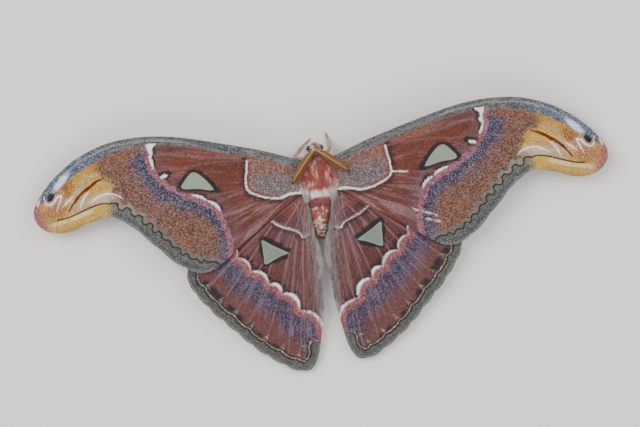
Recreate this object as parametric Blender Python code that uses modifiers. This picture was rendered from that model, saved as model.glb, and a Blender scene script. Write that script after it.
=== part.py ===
"""Atlas moth at rest with its wings spread flat, at life size, standing on its six legs.

X points to the moth's right, Y to its head and Z up. The ground is Z = 0, and the origin is the
middle of the moth's footprint on it. Every size below is in millimetres until MM turns it to metres.
"""

import math

import bmesh
import bpy
import numpy as np
from mathutils import Matrix, Vector
from mathutils.geometry import delaunay_2d_cdt

MM = 0.001
GAP = 0.3  # between pieces that touch
MEMBRANE = 0.52  # thickness of a wing between its veins
VEIN = 1.0  # thickness of a wing across a vein's crest and at its front edge
VEIN_FOOT = 0.5  # from a vein's crest to where its ridge meets the membrane
SIDES = (("right", 1), ("left", -1))

# Height of the spread wings: a shallow dome that falls away to the wing tips and to the tails
DOME_TOP = 12.0
TIP_FALL = 6.0
TAIL_FALL = 8.3
HALF_SPAN = 110.0
TAIL_REACH = 72.0
FORE_LIFT = 0.2
HIND_DROP = 1.4

# Outlines of the right wings, from above, with the thorax at the middle
FORE_FRONT = [
    (2.6, 6.4), (6, 8.2), (10, 9.7), (20, 13.4), (30, 16.4), (40, 19.2), (50, 21.8), (60, 23.5),
    (70, 23.9), (80, 22.7), (90, 19.1), (97, 14.9), (103, 9.9), (107.5, 4.6), (109.9, 0.3),
]
FORE_OUTER = [
    (110.1, -3.2), (108.3, -6.2), (105, -8.5), (100.5, -9.5), (95, -8.7), (90, -7), (85, -5.4), (81, -5.2),
    (76.5, -7.2), (72.5, -10.3), (67, -15.9), (62, -21.2), (57, -25.9), (52, -28.9), (48, -30.1),
]
FORE_INNER = [(44, -29.6), (40, -27.3), (35, -23.6), (30, -19.9), (25, -16.6), (20, -13.2), (12, -7.7), (6, -3.8)]
FORE_ROOT_EDGE = [(2.6, -1)]
HIND_FRONT = [(2.8, -0.6), (8, -2.6), (16, -4), (27, -7.5), (38, -13.5), (46.5, -20), (51.2, -25.4)]
HIND_OUTER = [
    (52.9, -30.5), (51.8, -34.4), (49.6, -38), (46.6, -42), (43.4, -45.9), (39.6, -49.8), (35.6, -54),
    (31.6, -58.2), (27.5, -61.9), (22, -66), (16.5, -69.4), (12, -70.9), (8.6, -69.8), (6.6, -67.3),
]
HIND_INNER = [
    (5.2, -63), (4.2, -58), (3.1, -52), (2.2, -44), (1.7, -36), (1.3, -30), (1.4, -25.5), (2.3, -21.5),
    (3.7, -17), (4.6, -12), (5, -8), (5.2, -5.4),
]
HIND_ROOT_EDGE = [(2.8, -3)]

# Main veins of the right wings, from the root outwards. A branch starts just clear of its stem.
FORE_VEINS = {
    "subcosta": [(8, 7.6), (20, 12), (35, 16.6), (50, 20.3), (62, 22.1), (73, 22.3)],
    "radius": [(8, 5.3), (15, 8), (25, 11.6), (35, 14.2), (45, 17.1), (55, 19.1), (65, 19.7), (75, 18.6), (86, 15),
               (95, 10), (102, 4.4)],
    "upper_fork": [(30, 12), (38, 14), (45, 15.6), (54, 16.4), (62, 16), (72, 14.5), (84, 11), (93, 6.6), (100, 0.6),
                   (103.5, -5.5)],
    "lower_fork": [(27, 10.6), (36, 11), (46, 10.7), (52, 10.2), (60, 10.1), (68, 9.5), (78, 7.3), (87, 3.8),
                   (94, -1), (98.5, -6.8)],
    "median": [(52, 8.8), (58, 6), (66, 3.2), (74, 1), (80, -1.2), (83.5, -3.8)],
    "cell_stem": [(8, -1), (18, -1.7), (27.5, 0), (36, -0.9), (46, -1.4), (53, -2), (61, -4.5), (68, -8.4), (71, -10.2)],
    "upper_cubital": [(30, -2), (40, -4.6), (50, -9), (58, -14), (63, -18)],
    "lower_cubital": [(13, -4), (22, -6.6), (31, -10.2), (40, -14.2), (49, -19.2), (55.5, -24.8)],
    "anal": [(9, -4.6), (20, -10.4), (30, -16.4), (38, -21.8), (44, -26.4), (46.6, -28.6)],
}
HIND_VEINS = {
    "subcosta": [(8.5, -4.6), (20, -8.2), (33, -15), (43, -22.6), (50.6, -31)],
    "radial": [(8.5, -6.4), (18, -12.2), (29, -21), (39.5, -30), (47.4, -38.4)],
    "upper_median": [(20, -16), (28, -26), (36.5, -36.6), (42.8, -44.3)],
    "middle_median": [(8, -8.4), (16, -18), (24, -29), (32, -41), (38.6, -49)],
    "lower_median": [(17.5, -22.5), (22.5, -34), (28.5, -46), (34.2, -53.8)],
    "upper_cubital": [(7.4, -10.4), (12.6, -24), (16.6, -36), (22, -50), (26.6, -60.6)],
    "lower_cubital": [(10.6, -25), (13, -37), (15.4, -52), (18, -66.6)],
    "anal": [(6.4, -13), (8, -27), (9.4, -45), (11.6, -69)],
    "inner": [(4.6, -22), (4, -35), (4.8, -50), (6.8, -64)],
}
RIDGE_STEP = 6.2  # between points along a vein
LATTICE_PITCH = 9.0  # of the points that carry the membrane between veins
LATTICE_CLEAR = 3.2  # kept from the veins and the outline
FORE_STEP = 2.6  # between points along the wings' outlines
HIND_STEP = 2.2
FORE_SCALLOPS = 7
HIND_SCALLOPS = 9
FORE_SCALLOP_DEPTH = 0.35
HIND_SCALLOP_DEPTH = 0.6

# How unevenly the two wings of a pair are held: a wing's outer part is moved by this much
FORE_SLIP = {"right": (0.8, 0.5), "left": (-0.8, -0.5)}
HIND_SLIP = {"right": (-0.85, 1.2), "left": (0.85, -1.2)}
FORE_SLIP_REACH = 70.0
HIND_SLIP_REACH = 25.0
WING_ROOT = (4.0, 0.0)

# Body, from the thorax to both ends
THORAX_MIDDLE = (0.0, 2.6, 9.6)
THORAX_HALF = (6.2, 7.2, 5.2)
HEAD_MIDDLE = (0.0, 11.7, 8.8)
HEAD_HALF = (2.6, 2.5, 2.7)
EYE_OUT = 2.1
EYE_FORWARD = 0.5
EYE_RADIUS = 1.4
# Abdomen sections: distance along Y, middle's X and Z, half width, half height
ABDOMEN = [
    (-3.2, 0.0, 9.4, 4.3, 3.9), (-6, -0.1, 9.0, 4.9, 4.3), (-9, -0.4, 8.1, 4.7, 4.2), (-12, -0.7, 6.8, 4.2, 3.8),
    (-15, -1.0, 5.4, 3.6, 3.4), (-18, -1.2, 3.4, 2.9, 2.9), (-20.5, -1.3, 1.9, 2.1, 2.3), (-22.2, -1.3, 1.2, 0.8, 0.9),
]
ABDOMEN_SEGMENTS = 7
SEGMENT_SWELL = 0.05
SEGMENT_RINGS = ((0.04, -0.5), (0.5, 0.5), (0.9, 1.0))  # share of a segment's length, and of its swell

# Legs of the right side: where each leaves the thorax, its knee, its ankle and the end of its foot
LEGS = {
    "front": ((1.8, 7.0, 7.2), (5.6, 11.7, 8.2), (5.3, 14.8, 1.5), (4.5, 18.4, 0.3)),
    "mid": ((2.8, 3.0, 6.6), (8.4, 4.6, 8.4), (12.6, 3.2, 1.5), (16.6, 1.4, 0.3)),
    "hind": ((2.6, -0.6, 6.8), (7.2, -6.4, 7.4), (10.8, -13.6, 1.5), (13.0, -20.0, 0.3)),
}
# The left front leg is held out from under the wing and turned in, told as if it were on the right
LEFT_FRONT_LEG = ((1.8, 7.0, 7.2), (8.4, 9.4, 8.0), (4.4, 13.8, 1.5), (0.9, 16.6, 0.3))
FEMUR_RADIUS = 0.85
KNEE_RADIUS = 0.62
TIBIA_RADIUS = 0.74
ANKLE_RADIUS = 0.5
FOOT_RADIUS = 0.42

GROUND = (44, 60, 4)  # cuts soles flat at the floor

# Feelers: where each bends and ends, as shown on each side
FEELERS = {
    "right": ((0.7, 11.3, 10.8), (1.5, 10.5, 13.8), (4.2, 8.4, 15.6), (8.0, 5.4, 16.2), (12.3, 1.95, 15.6)),
    "left": ((-0.9, 11.3, 10.8), (-1.6, 10.3, 13.8), (-4.0, 7.4, 15.6), (-7.0, 3.6, 16.2), (-10.3, -0.75, 15.6)),
}
FEELER_RADIUS = 0.36
FEELER_TIP_RADIUS = 0.3
FEELER_STEP = 1.25
RAYS = 16
FIRST_RAY = 0.17  # share of the feeler's length
LAST_RAY = 0.96
RAY_LEAD = 0.04  # share of the length each way over which the direction at a ray is taken
RAY_LENGTH = 2.2
RAY_RADIUS = 0.25
RAY_TIP_RADIUS = 0.13
RAY_DROOP = 40.0
RAY_SWEEP = 52.0

# Locks of hair: length, width and thickness at the root
BACK_LOCK = (3.6, 2.1, 0.6)
BAND_LOCK = (3.0, 1.9, 0.6)
FACE_LOCK = (2.2, 1.1, 0.5)
LOCK_SUNK = 0.3  # share of a lock's length that starts below the skin
LOWEST_LOCK = 13.4  # height of the lowest roots on the back, clear of the wings

COLOURS = {
    "wing": (0.30, 0.085, 0.045),
    "thorax": (0.45, 0.10, 0.06),
    "abdomen": (0.52, 0.22, 0.13),
    "head": (0.42, 0.17, 0.13),
    "eye": (0.02, 0.012, 0.01),
    "feeler": (0.36, 0.17, 0.04),
    "leg": (0.40, 0.20, 0.16),
}


def smooth_step(share):
    """0 below 0, 1 above 1, and an even S between."""
    share = np.clip(share, 0, 1)
    return share * share * (3 - 2 * share)


def curve_through(points, spans=10, closed=False):
    """A Catmull-Rom curve through the points."""
    knots = np.array(points, float)
    if closed:
        knots = np.vstack([knots[-1:], knots, knots[:2]])
    else:
        knots = np.vstack([2 * knots[0] - knots[1], knots, 2 * knots[-1] - knots[-2]])
    t = np.linspace(0, 1, spans, endpoint=False)[:, None]
    parts = [
        0.5 * (2 * b + (c - a) * t + (2 * a - 5 * b + 4 * c - d) * t**2 + (3 * b - a - 3 * c + d) * t**3)
        for a, b, c, d in zip(knots[:-3], knots[1:-2], knots[2:-1], knots[3:])
    ]
    if not closed:
        parts.append(knots[-2:-1])
    return np.vstack(parts)


def evenly_spaced(line, step):
    """The same line with its points about one step apart, both ends kept."""
    run = np.concatenate([[0], np.cumsum(np.linalg.norm(np.diff(line, axis=0), axis=1))])
    count = max(2, int(round(run[-1] / step)) + 1)
    at = np.linspace(0, run[-1], count)
    return np.stack([np.interp(at, run, line[:, i]) for i in range(line.shape[1])], axis=1)


def left_of(line):
    """Unit vectors to the left of the line's direction, one for each point."""
    along = np.gradient(line, axis=0)
    along /= np.linalg.norm(along, axis=1)[:, None]
    return np.stack([-along[:, 1], along[:, 0]], axis=1)


def outline_of(front, outer, inner, root_edge, scallops, depth, step):
    """A wing's closed outline, with shallow lobes along its outer margin, and how many of its
    points lie on the front edge."""
    whole = curve_through(front + outer + inner + root_edge, closed=True)
    spans = 10
    first = (len(front) - 1) * spans
    last = first + len(outer) * spans
    margin = evenly_spaced(whole[first:last], step)
    share = np.linspace(0, 1, len(margin))
    lobes = depth * (np.abs(np.sin(math.pi * scallops * share)) - 0.5)
    lobes *= smooth_step(share * 5) * smooth_step((1 - share) * 12)
    margin = margin + left_of(margin) * lobes[:, None]
    before = evenly_spaced(whole[:first], step)[:-1]
    after = evenly_spaced(whole[last:], step)[1:]
    return np.vstack([before, margin, after]), len(before)


def slipped(points, slip, reach):
    """Points of a wing moved by its slip, fully beyond reach from the root and not at all at it."""
    away = np.linalg.norm(points - np.array(WING_ROOT), axis=1) / reach
    return points + np.array(slip) * smooth_step(away)[:, None]


def dome(x, y):
    return DOME_TOP - TIP_FALL * (x / HALF_SPAN) ** 2 - TAIL_FALL * (np.maximum(-y, 0) / TAIL_REACH) ** 1.4


def footprint_middle():
    """The middle of the box round the four wings, which the origin stands under."""
    fore = curve_through(FORE_FRONT + FORE_OUTER + FORE_INNER + FORE_ROOT_EDGE, closed=True)
    hind = curve_through(HIND_FRONT + HIND_OUTER + HIND_INNER + HIND_ROOT_EDGE, closed=True)
    every = []
    for side, sign in SIDES:
        every.append(slipped(fore, FORE_SLIP[side], FORE_SLIP_REACH) * (sign, 1))
        every.append(slipped(hind, HIND_SLIP[side], HIND_SLIP_REACH) * (sign, 1))
    every = np.vstack(every)
    return (every.min(0) + every.max(0)) / 2


def inside(points, outline):
    """Which points lie inside the outline, by the crossings of a line to the right of each."""
    x, y = points[:, :1], points[:, 1:]
    a, b = outline, np.roll(outline, -1, axis=0)
    crosses = (a[:, 1] > y) != (b[:, 1] > y)
    rise = np.where(b[:, 1] == a[:, 1], 1, b[:, 1] - a[:, 1])
    at = a[:, 0] + (y - a[:, 1]) * (b[:, 0] - a[:, 0]) / rise
    return (crosses & (x < at)).sum(1) % 2 == 1


def material(name, colour, roughness):
    made = bpy.data.materials.new(name)
    made.use_nodes = True
    shader = made.node_tree.nodes["Principled BSDF"]
    shader.inputs["Base Color"].default_value = (*colour, 1)
    shader.inputs["Roughness"].default_value = roughness
    shader.inputs["Metallic"].default_value = 0
    return made


def collection(name):
    made = bpy.data.collections.new(name)
    bpy.context.scene.collection.children.link(made)
    return made


def add_object(name, mesh, home, root=(0, 0, 0), finish=None):
    """An object from a mesh in millimetres, with its origin at root, scaled to metres."""
    mesh.transform(Matrix.Scale(MM, 4) @ Matrix.Translation(-Vector(root)))
    made = bpy.data.objects.new(name, mesh)
    made.location = Vector(root) * MM
    home.objects.link(made)
    if finish:
        mesh.materials.append(finish)
        mesh.shade_smooth()
        mesh.set_sharp_from_angle(angle=math.radians(50))
    return made


def mesh_from(bm, name):
    mesh = bpy.data.meshes.new(name)
    bm.to_mesh(mesh)
    bm.free()
    return mesh


def ellipsoid(middle, half, around=24, rings=14, grow=0.0):
    """A ball scaled to three half sizes, each grown by the same amount."""
    bm = bmesh.new()
    bmesh.ops.create_uvsphere(bm, u_segments=around, v_segments=rings, radius=1)
    for v in bm.verts:
        v.co = Vector(m + c * (h + grow) for m, c, h in zip(middle, v.co, half))
    return mesh_from(bm, "ellipsoid")


def cutter(name, mesh, tools):
    made = add_object(name, mesh, tools)
    made.display_type = "WIRE"
    made.hide_render = True
    return made


def cut_by(piece, tool):
    modifier = piece.modifiers.new(tool.name, "BOOLEAN")
    modifier.operation = "DIFFERENCE"
    modifier.solver = "EXACT"
    modifier.object = tool


def keep_largest(bm):
    """Removes every closed surface but the one with the most volume."""
    bm.faces.ensure_lookup_table()
    left = set(bm.faces)
    shells = []
    while left:
        shell, edge = set(), [left.pop()]
        while edge:
            face = edge.pop()
            shell.add(face)
            near = {f for e in face.edges for f in e.link_faces} & left
            left -= near
            edge.extend(near)
        volume = sum(
            loops[0].vert.co.dot(a.vert.co.cross(b.vert.co)) / 6
            for loops in (f.loops[:] for f in shell)
            for a, b in zip(loops[1:-1], loops[2:])
        )
        shells.append((volume, shell))
    shells.sort(key=lambda pair: pair[0])
    scraps = [f for _, shell in shells[:-1] for f in shell]
    bmesh.ops.delete(bm, geom=scraps, context="FACES")


def fuse(name, core, pieces, home, finish):
    """Joins a core mesh and its pieces in one closed body. The joining is done in millimetres."""
    bits = collection(name + "_pieces")
    shape = bpy.data.objects.new(name + "_core", core)
    home.objects.link(shape)
    for i, piece in enumerate(pieces):
        bits.objects.link(bpy.data.objects.new(f"{name}_piece_{i}", piece))
    joined = shape.modifiers.new("join", "BOOLEAN")
    joined.operation = "UNION"
    joined.operand_type = "COLLECTION"
    joined.collection = bits
    joined.solver = "EXACT"
    graph = bpy.context.evaluated_depsgraph_get()
    bm = bmesh.new()
    bm.from_mesh(shape.evaluated_get(graph).to_mesh())
    keep_largest(bm)
    bmesh.ops.triangulate(bm, faces=bm.faces)
    for piece in list(bits.objects) + [shape]:
        bpy.data.objects.remove(piece)
    bpy.data.collections.remove(bits)
    return add_object(name, mesh_from(bm, name), home, finish=finish)


def ridge_lines(veins, step):
    """Each vein's crest and the two feet of its ridge, which meet the crest at both ends."""
    lines = []
    for points in veins.values():
        crest = evenly_spaced(curve_through(points), step)
        across = left_of(crest) * VEIN_FOOT
        for offset in (across, -across):
            lines.append((np.vstack([crest[:1], (crest + offset)[1:-1], crest[-1:]]), False))
        lines.append((crest, True))
    return lines


def wing(name, sign, outline, front_count, veins, slip, reach, lift, root, home, finish):
    """A membrane over the outline, raised on both faces along its veins and front edge."""
    points = [outline]
    edges = []
    crests = set(range(1, front_count))
    total = len(outline)
    for line, is_crest in ridge_lines(veins, RIDGE_STEP):
        points.append(line)
        edges += [(total + i, total + i + 1) for i in range(len(line) - 1)]
        if is_crest:
            crests |= set(range(total, total + len(line)))
        total += len(line)
    near = np.vstack(points)
    low, high = outline.min(0), outline.max(0)
    columns, rows = (np.arange(low[i], high[i], LATTICE_PITCH) for i in (0, 1))
    lattice = np.stack(np.meshgrid(columns, rows), -1).reshape(-1, 2)
    lattice = lattice[inside(lattice, outline)]
    apart = np.linalg.norm(lattice[:, None] - near[None], axis=2).min(1)
    plan = slipped(np.vstack([near, lattice[apart > LATTICE_CLEAR]]), slip, reach) * (sign, 1)
    rim = list(range(len(outline)))[::-sign]  # anticlockwise on both sides
    flat, _, faces, origins, _, within = delaunay_2d_cdt([Vector(p) for p in plan], edges, [rim], 0, 1e-6, True)
    faces = [face for face, own in zip(faces, within) if own]
    flat = np.array(flat)
    height = dome(flat[:, 0], flat[:, 1]) + lift
    mesh = bpy.data.meshes.new(name)
    mesh.from_pydata(np.column_stack([flat, height]), [], faces)
    made = add_object(name, mesh, home, root=(sign * root[0], root[1], root[2]), finish=finish)
    raised = made.vertex_groups.new(name="raised")
    raised.add(range(len(flat)), MEMBRANE / VEIN, "REPLACE")
    raised.add([i for i, own in enumerate(origins) if crests & set(own)], 1.0, "REPLACE")
    thick = made.modifiers.new("thickness", "SOLIDIFY")
    thick.thickness = VEIN * MM
    thick.offset = 0
    thick.vertex_group = raised.name
    thick.use_even_offset = False
    return made


def body_frame(along, up=(0, 0, 1)):
    """Axes of a piece that runs along one direction and has its back turned up."""
    along = Vector(along).normalized()
    side = along.cross(Vector(up)).normalized()
    return side, along, side.cross(along)


def lock(root, lie, lift, size, curl=0.25):
    """A flat, tapered lock of hair: a four-sided rod, cut twice along its length, narrowed and bent.

    It leaves root along lie, lifted off the body by an angle, and curls back down to it."""
    length, width, thick = size
    bm = bmesh.new()
    bmesh.ops.create_cone(bm, cap_ends=True, segments=4, radius1=0.5, radius2=0.5, depth=1)
    for height in (0, 0.3):
        cut = bm.verts[:] + bm.edges[:] + bm.faces[:]
        bmesh.ops.bisect_plane(bm, geom=cut, plane_co=(0, 0, height), plane_no=(0, 0, 1))
    side, along, up = body_frame(lie, up=lie_normal(root))
    angle = math.radians(lift)
    for v in bm.verts:
        share = v.co.z + 0.5
        taper = 1 - 0.85 * share * share
        run = (share * (1 + LOCK_SUNK) - LOCK_SUNK) * length
        rise = run * math.sin(angle) - curl * length * share * share * math.sin(angle)
        reach = run * math.cos(angle)
        v.co = Vector(root) + side * (v.co.x * width * taper) + along * reach + up * (rise + v.co.y * thick * taper)
    return mesh_from(bm, "lock")


def lie_normal(point):
    """The direction straight out of the thorax at a point near its surface."""
    out = [(p - m) / (h * h) for p, m, h in zip(point, THORAX_MIDDLE, THORAX_HALF)]
    return Vector(out).normalized()


def on_ellipsoid(middle, half, turn, y_share):
    """The point of an ellipsoid at a share of its length and a turn from the top about its long axis."""
    girth = math.sqrt(max(0, 1 - y_share * y_share))
    return (
        middle[0] + half[0] * girth * math.sin(turn),
        middle[1] + half[1] * y_share,
        middle[2] + half[2] * girth * math.cos(turn),
    )


def thorax_locks():
    """Rows of hair over the back, which lie backwards and spread a little to the sides.

    Behind the front edge of the wings a row reaches down only to just above them."""
    draw = np.random.default_rng(7)
    locks = []
    for row, y_share in enumerate(np.linspace(0.84, -0.5, 8)):
        girth = math.sqrt(1 - y_share * y_share)
        reach = 62.0
        if y_share < 0.8:
            reach = math.degrees(math.acos((LOWEST_LOCK - THORAX_MIDDLE[2]) / (THORAX_HALF[2] * girth)))
        count = 6 + row % 2
        for turn in np.linspace(-reach, reach, count):
            angle = math.radians(turn)
            root = on_ellipsoid(THORAX_MIDDLE, THORAX_HALF, angle, y_share)
            lie = Vector((0.4 * math.sin(angle), -1, 0.1))
            size = tuple(s * f for s, f in zip(BACK_LOCK, draw.uniform(0.85, 1.1, 3)))
            locks.append(lock(root, lie, draw.uniform(14, 26), size))
    return locks


def face_locks():
    """Hair on the brow, which lies forwards and down over the face."""
    draw = np.random.default_rng(11)
    locks = []
    for turn, y_share in ((-30, 0.35), (0, 0.4), (30, 0.35), (-48, 0.7), (-16, 0.72), (16, 0.72), (48, 0.7)):
        root = on_ellipsoid(HEAD_MIDDLE, HEAD_HALF, math.radians(turn), y_share)
        lie = Vector((0.3 * math.sin(math.radians(turn)), 1, -0.7))
        locks.append(lock(root, lie, draw.uniform(12, 20), FACE_LOCK))
    return locks


def palps():
    """The pair of short feelers under the face, curved up in front of it."""
    made = []
    for sign in (1, -1):
        foot = Vector((0.9 * sign, HEAD_MIDDLE[1] + 1.5, HEAD_MIDDLE[2] - 1.6))
        tip = Vector((0.7 * sign, HEAD_MIDDLE[1] + 3.1, HEAD_MIDDLE[2] + 0.1))
        made.append(spike(foot, tip, 0.5, 0.22, 6))
    return made


def spike(foot, tip, foot_radius, tip_radius, around):
    """A cone from foot to tip."""
    bm = bmesh.new()
    run = tip - foot
    turned = Matrix.Translation((foot + tip) / 2) @ run.to_track_quat("Z", "Y").to_matrix().to_4x4()
    bmesh.ops.create_cone(bm, cap_ends=True, segments=around, radius1=foot_radius, radius2=tip_radius,
                          depth=run.length, matrix=turned)
    return mesh_from(bm, "spike")


def tube(name, path, radii, sides_level):
    """A tapered tube with closed ends along a path, as a mesh in millimetres."""
    line = bpy.data.curves.new(name, "CURVE")
    line.dimensions = "3D"
    line.bevel_depth = 1
    line.bevel_resolution = sides_level
    line.use_fill_caps = True
    spline = line.splines.new("POLY")
    spline.points.add(len(path) - 1)
    spline.points.foreach_set("co", np.column_stack([path, np.ones(len(path))]).ravel())
    spline.points.foreach_set("radius", radii)
    holder = bpy.data.objects.new(name, line)
    bpy.context.scene.collection.objects.link(holder)
    bpy.context.view_layer.update()
    graph = bpy.context.evaluated_depsgraph_get()
    bm = bmesh.new()
    bm.from_mesh(bpy.data.meshes.new_from_object(holder.evaluated_get(graph)))
    bmesh.ops.remove_doubles(bm, verts=bm.verts, dist=0.001)
    bmesh.ops.recalc_face_normals(bm, faces=bm.faces)
    bpy.data.objects.remove(holder)
    return mesh_from(bm, name)


def feeler(name, points, home, finish):
    """A tapered shaft with two rows of rays that slope down from it like a roof."""
    path = evenly_spaced(curve_through(points), FEELER_STEP)
    share = np.linspace(0, 1, len(path))
    radii = FEELER_RADIUS + (FEELER_TIP_RADIUS - FEELER_RADIUS) * share
    radii[:2] = FEELER_RADIUS * 1.5
    shaft = tube(name + "_shaft", path, radii, 1)
    rays = []
    for at in np.linspace(FIRST_RAY, LAST_RAY, RAYS):
        foot = Vector([float(np.interp(at, share, path[:, i])) for i in range(3)])
        ahead = Vector([float(np.interp(min(at + RAY_LEAD, 1), share, path[:, i])) for i in range(3)])
        back = Vector([float(np.interp(at - RAY_LEAD, share, path[:, i])) for i in range(3)])
        side, along, up = body_frame(ahead - back)
        length = RAY_LENGTH * math.sin(math.pi * (0.12 + 0.8 * at)) ** 0.6
        for sign in (1, -1):
            droop, sweep = math.radians(RAY_DROOP), math.radians(RAY_SWEEP)
            out = side * (sign * math.cos(droop)) - up * math.sin(droop)
            ray = out * math.sin(sweep) + along * math.cos(sweep)
            rays.append(spike(foot, foot + ray * length, RAY_RADIUS, RAY_TIP_RADIUS, 5))
    return fuse(name, shaft, rays, home, finish)


def leg(name, joints, sign, home, finish):
    """Thigh, shin and a foot that lies along the ground, as one tube that swells and narrows."""
    hip, knee, ankle, toe = (np.array(p) * (sign, 1, 1) for p in joints)
    sole = ankle + (toe - ankle) * 0.3
    sole[2] = toe[2] + 0.1
    stations = [
        (hip, FEMUR_RADIUS * 1.25), (hip * 0.55 + knee * 0.45, FEMUR_RADIUS), (hip * 0.1 + knee * 0.9, KNEE_RADIUS),
        (knee, KNEE_RADIUS), (knee * 0.85 + ankle * 0.15, KNEE_RADIUS), (knee * 0.5 + ankle * 0.5, TIBIA_RADIUS),
        (knee * 0.1 + ankle * 0.9, ANKLE_RADIUS), (ankle, FOOT_RADIUS), (sole, FOOT_RADIUS),
        (ankle * 0.4 + toe * 0.6, FOOT_RADIUS), (toe, FOOT_RADIUS * 0.8),
    ]
    path = np.array([p for p, _ in stations])
    path[-2][2] = toe[2] + 0.05
    radii = np.array([r for _, r in stations])
    fine = curve_through(np.column_stack([path, radii]), spans=2)
    return add_object(name, tube(name, fine[:, :3], fine[:, 3], 2), home, finish=finish)


def abdomen_core(around=18, grow=0.0):
    """Rings along the abdomen's middle line, each segment swelling towards its hind edge."""
    rows = curve_through(ABDOMEN, spans=8)
    run = np.linspace(0, 1, len(rows))
    at, swell = [], []
    for segment in range(ABDOMEN_SEGMENTS):
        at += [(segment + part) / ABDOMEN_SEGMENTS for part, _ in SEGMENT_RINGS]
        swell += [1 + SEGMENT_SWELL * share for _, share in SEGMENT_RINGS]
    rings = np.stack([np.interp(at, run, rows[:, i]) for i in range(5)], axis=1)
    bm = bmesh.new()
    loops = []
    for i, (y, x, z, half_width, half_height) in enumerate(rings):
        ahead, behind = rings[min(i + 1, len(rings) - 1)], rings[max(i - 1, 0)]
        lean = math.atan2(behind[2] - ahead[2], behind[0] - ahead[0])
        loop = []
        for turn in np.linspace(0, 2 * math.pi, around, endpoint=False):
            out = (half_width * swell[i] + grow) * math.sin(turn)
            rise = (half_height * swell[i] + grow) * math.cos(turn)
            loop.append(bm.verts.new((x + out, y - rise * math.sin(lean), z + rise * math.cos(lean))))
        loops.append(loop)
    for a, b in zip(loops[:-1], loops[1:]):
        for i in range(around):
            j = (i + 1) % around
            bm.faces.new((a[i], a[j], b[j], b[i]))
    bm.faces.new(loops[0])
    bm.faces.new(loops[-1])
    bmesh.ops.recalc_face_normals(bm, faces=bm.faces)
    return mesh_from(bm, "abdomen")


def band_locks():
    """The row of white hair across the base of the abdomen."""
    y, x, z, half_width, half_height = ABDOMEN[1]
    locks = []
    for turn in np.linspace(-48, 48, 8):
        angle = math.radians(turn)
        root = (x + half_width * 0.98 * math.sin(angle), y + 1.3, z + half_height * 0.98 * math.cos(angle))
        locks.append(lock(root, Vector((0.15 * math.sin(angle), -1, -0.12)), 12, BAND_LOCK))
    return locks


def clear_scene():
    for old in list(bpy.data.objects):
        bpy.data.objects.remove(old)


def main():
    clear_scene()
    moth = collection("atlas_moth")
    tools = collection("cutters")
    finishes = {
        name: material(name, colour, 0.15 if name == "eye" else 0.8) for name, colour in COLOURS.items()
    }

    ground = cutter("ground_cutter", box_mesh(GROUND, (0, 0, -GROUND[2] / 2)), tools)
    by_thorax = cutter("thorax_cutter", ellipsoid(THORAX_MIDDLE, THORAX_HALF, grow=GAP), tools)
    by_abdomen = cutter("abdomen_cutter", abdomen_core(grow=GAP), tools)
    by_head = cutter("head_cutter", ellipsoid(HEAD_MIDDLE, HEAD_HALF, 18, 12, GAP), tools)

    fore = outline_of(FORE_FRONT, FORE_OUTER, FORE_INNER, FORE_ROOT_EDGE, FORE_SCALLOPS, FORE_SCALLOP_DEPTH, FORE_STEP)
    hind = outline_of(HIND_FRONT, HIND_OUTER, HIND_INNER, HIND_ROOT_EDGE, HIND_SCALLOPS, HIND_SCALLOP_DEPTH, HIND_STEP)
    for side, sign in SIDES:
        piece = wing(f"forewing_{side}", sign, *fore, FORE_VEINS, FORE_SLIP[side], FORE_SLIP_REACH, FORE_LIFT,
                     (WING_ROOT[0], 2, DOME_TOP), moth, finishes["wing"])
        cut_by(piece, by_thorax)
        piece = wing(f"hindwing_{side}", sign, *hind, HIND_VEINS, HIND_SLIP[side], HIND_SLIP_REACH, -HIND_DROP,
                     (WING_ROOT[0], -2, DOME_TOP - HIND_DROP), moth, finishes["wing"])
        cut_by(piece, by_thorax)
        cut_by(piece, by_abdomen)

    fuse("thorax", ellipsoid(THORAX_MIDDLE, THORAX_HALF), thorax_locks(), moth, finishes["thorax"])
    abdomen = fuse("abdomen", abdomen_core(), band_locks(), moth, finishes["abdomen"])
    cut_by(abdomen, by_thorax)
    cut_by(abdomen, ground)
    head = fuse("head", ellipsoid(HEAD_MIDDLE, HEAD_HALF, 18, 12), face_locks() + palps(), moth, finishes["head"])
    cut_by(head, by_thorax)

    for side, sign in SIDES:
        eye_at = (sign * EYE_OUT, HEAD_MIDDLE[1] + EYE_FORWARD, HEAD_MIDDLE[2])
        eye = add_object(f"eye_{side}", ellipsoid(eye_at, (EYE_RADIUS,) * 3, 14, 8), moth, finish=finishes["eye"])
        cut_by(eye, by_head)
        antenna = feeler(f"antenna_{side}", FEELERS[side], moth, finishes["feeler"])
        cut_by(antenna, by_head)
        for which, joints in LEGS.items():
            if (side, which) == ("left", "front"):
                joints = LEFT_FRONT_LEG
            piece = leg(f"leg_{which}_{side}", joints, sign, moth, finishes["leg"])
            cut_by(piece, by_thorax)
            cut_by(piece, ground)

    stand_at_origin(moth, tools)


def box_mesh(size, middle):
    bm = bmesh.new()
    bmesh.ops.create_cube(bm, size=1)
    for v in bm.verts:
        v.co = Vector(m + c * s for m, c, s in zip(middle, v.co, size))
    return mesh_from(bm, "box")


def stand_at_origin(*homes):
    """Parents every piece to one empty, which puts the footprint's middle on the origin."""
    middle = footprint_middle()
    holder = bpy.data.objects.new("atlas_moth_origin", None)
    homes[0].objects.link(holder)
    for home in homes:
        for piece in home.objects:
            if piece.type == "MESH":
                piece.parent = holder
    holder.location = (-middle[0] * MM, -middle[1] * MM, 0)


main()
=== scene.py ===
"""Looks of an atlas moth resting with its wings spread, seen from straight above on a pale floor."""

import math

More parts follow.
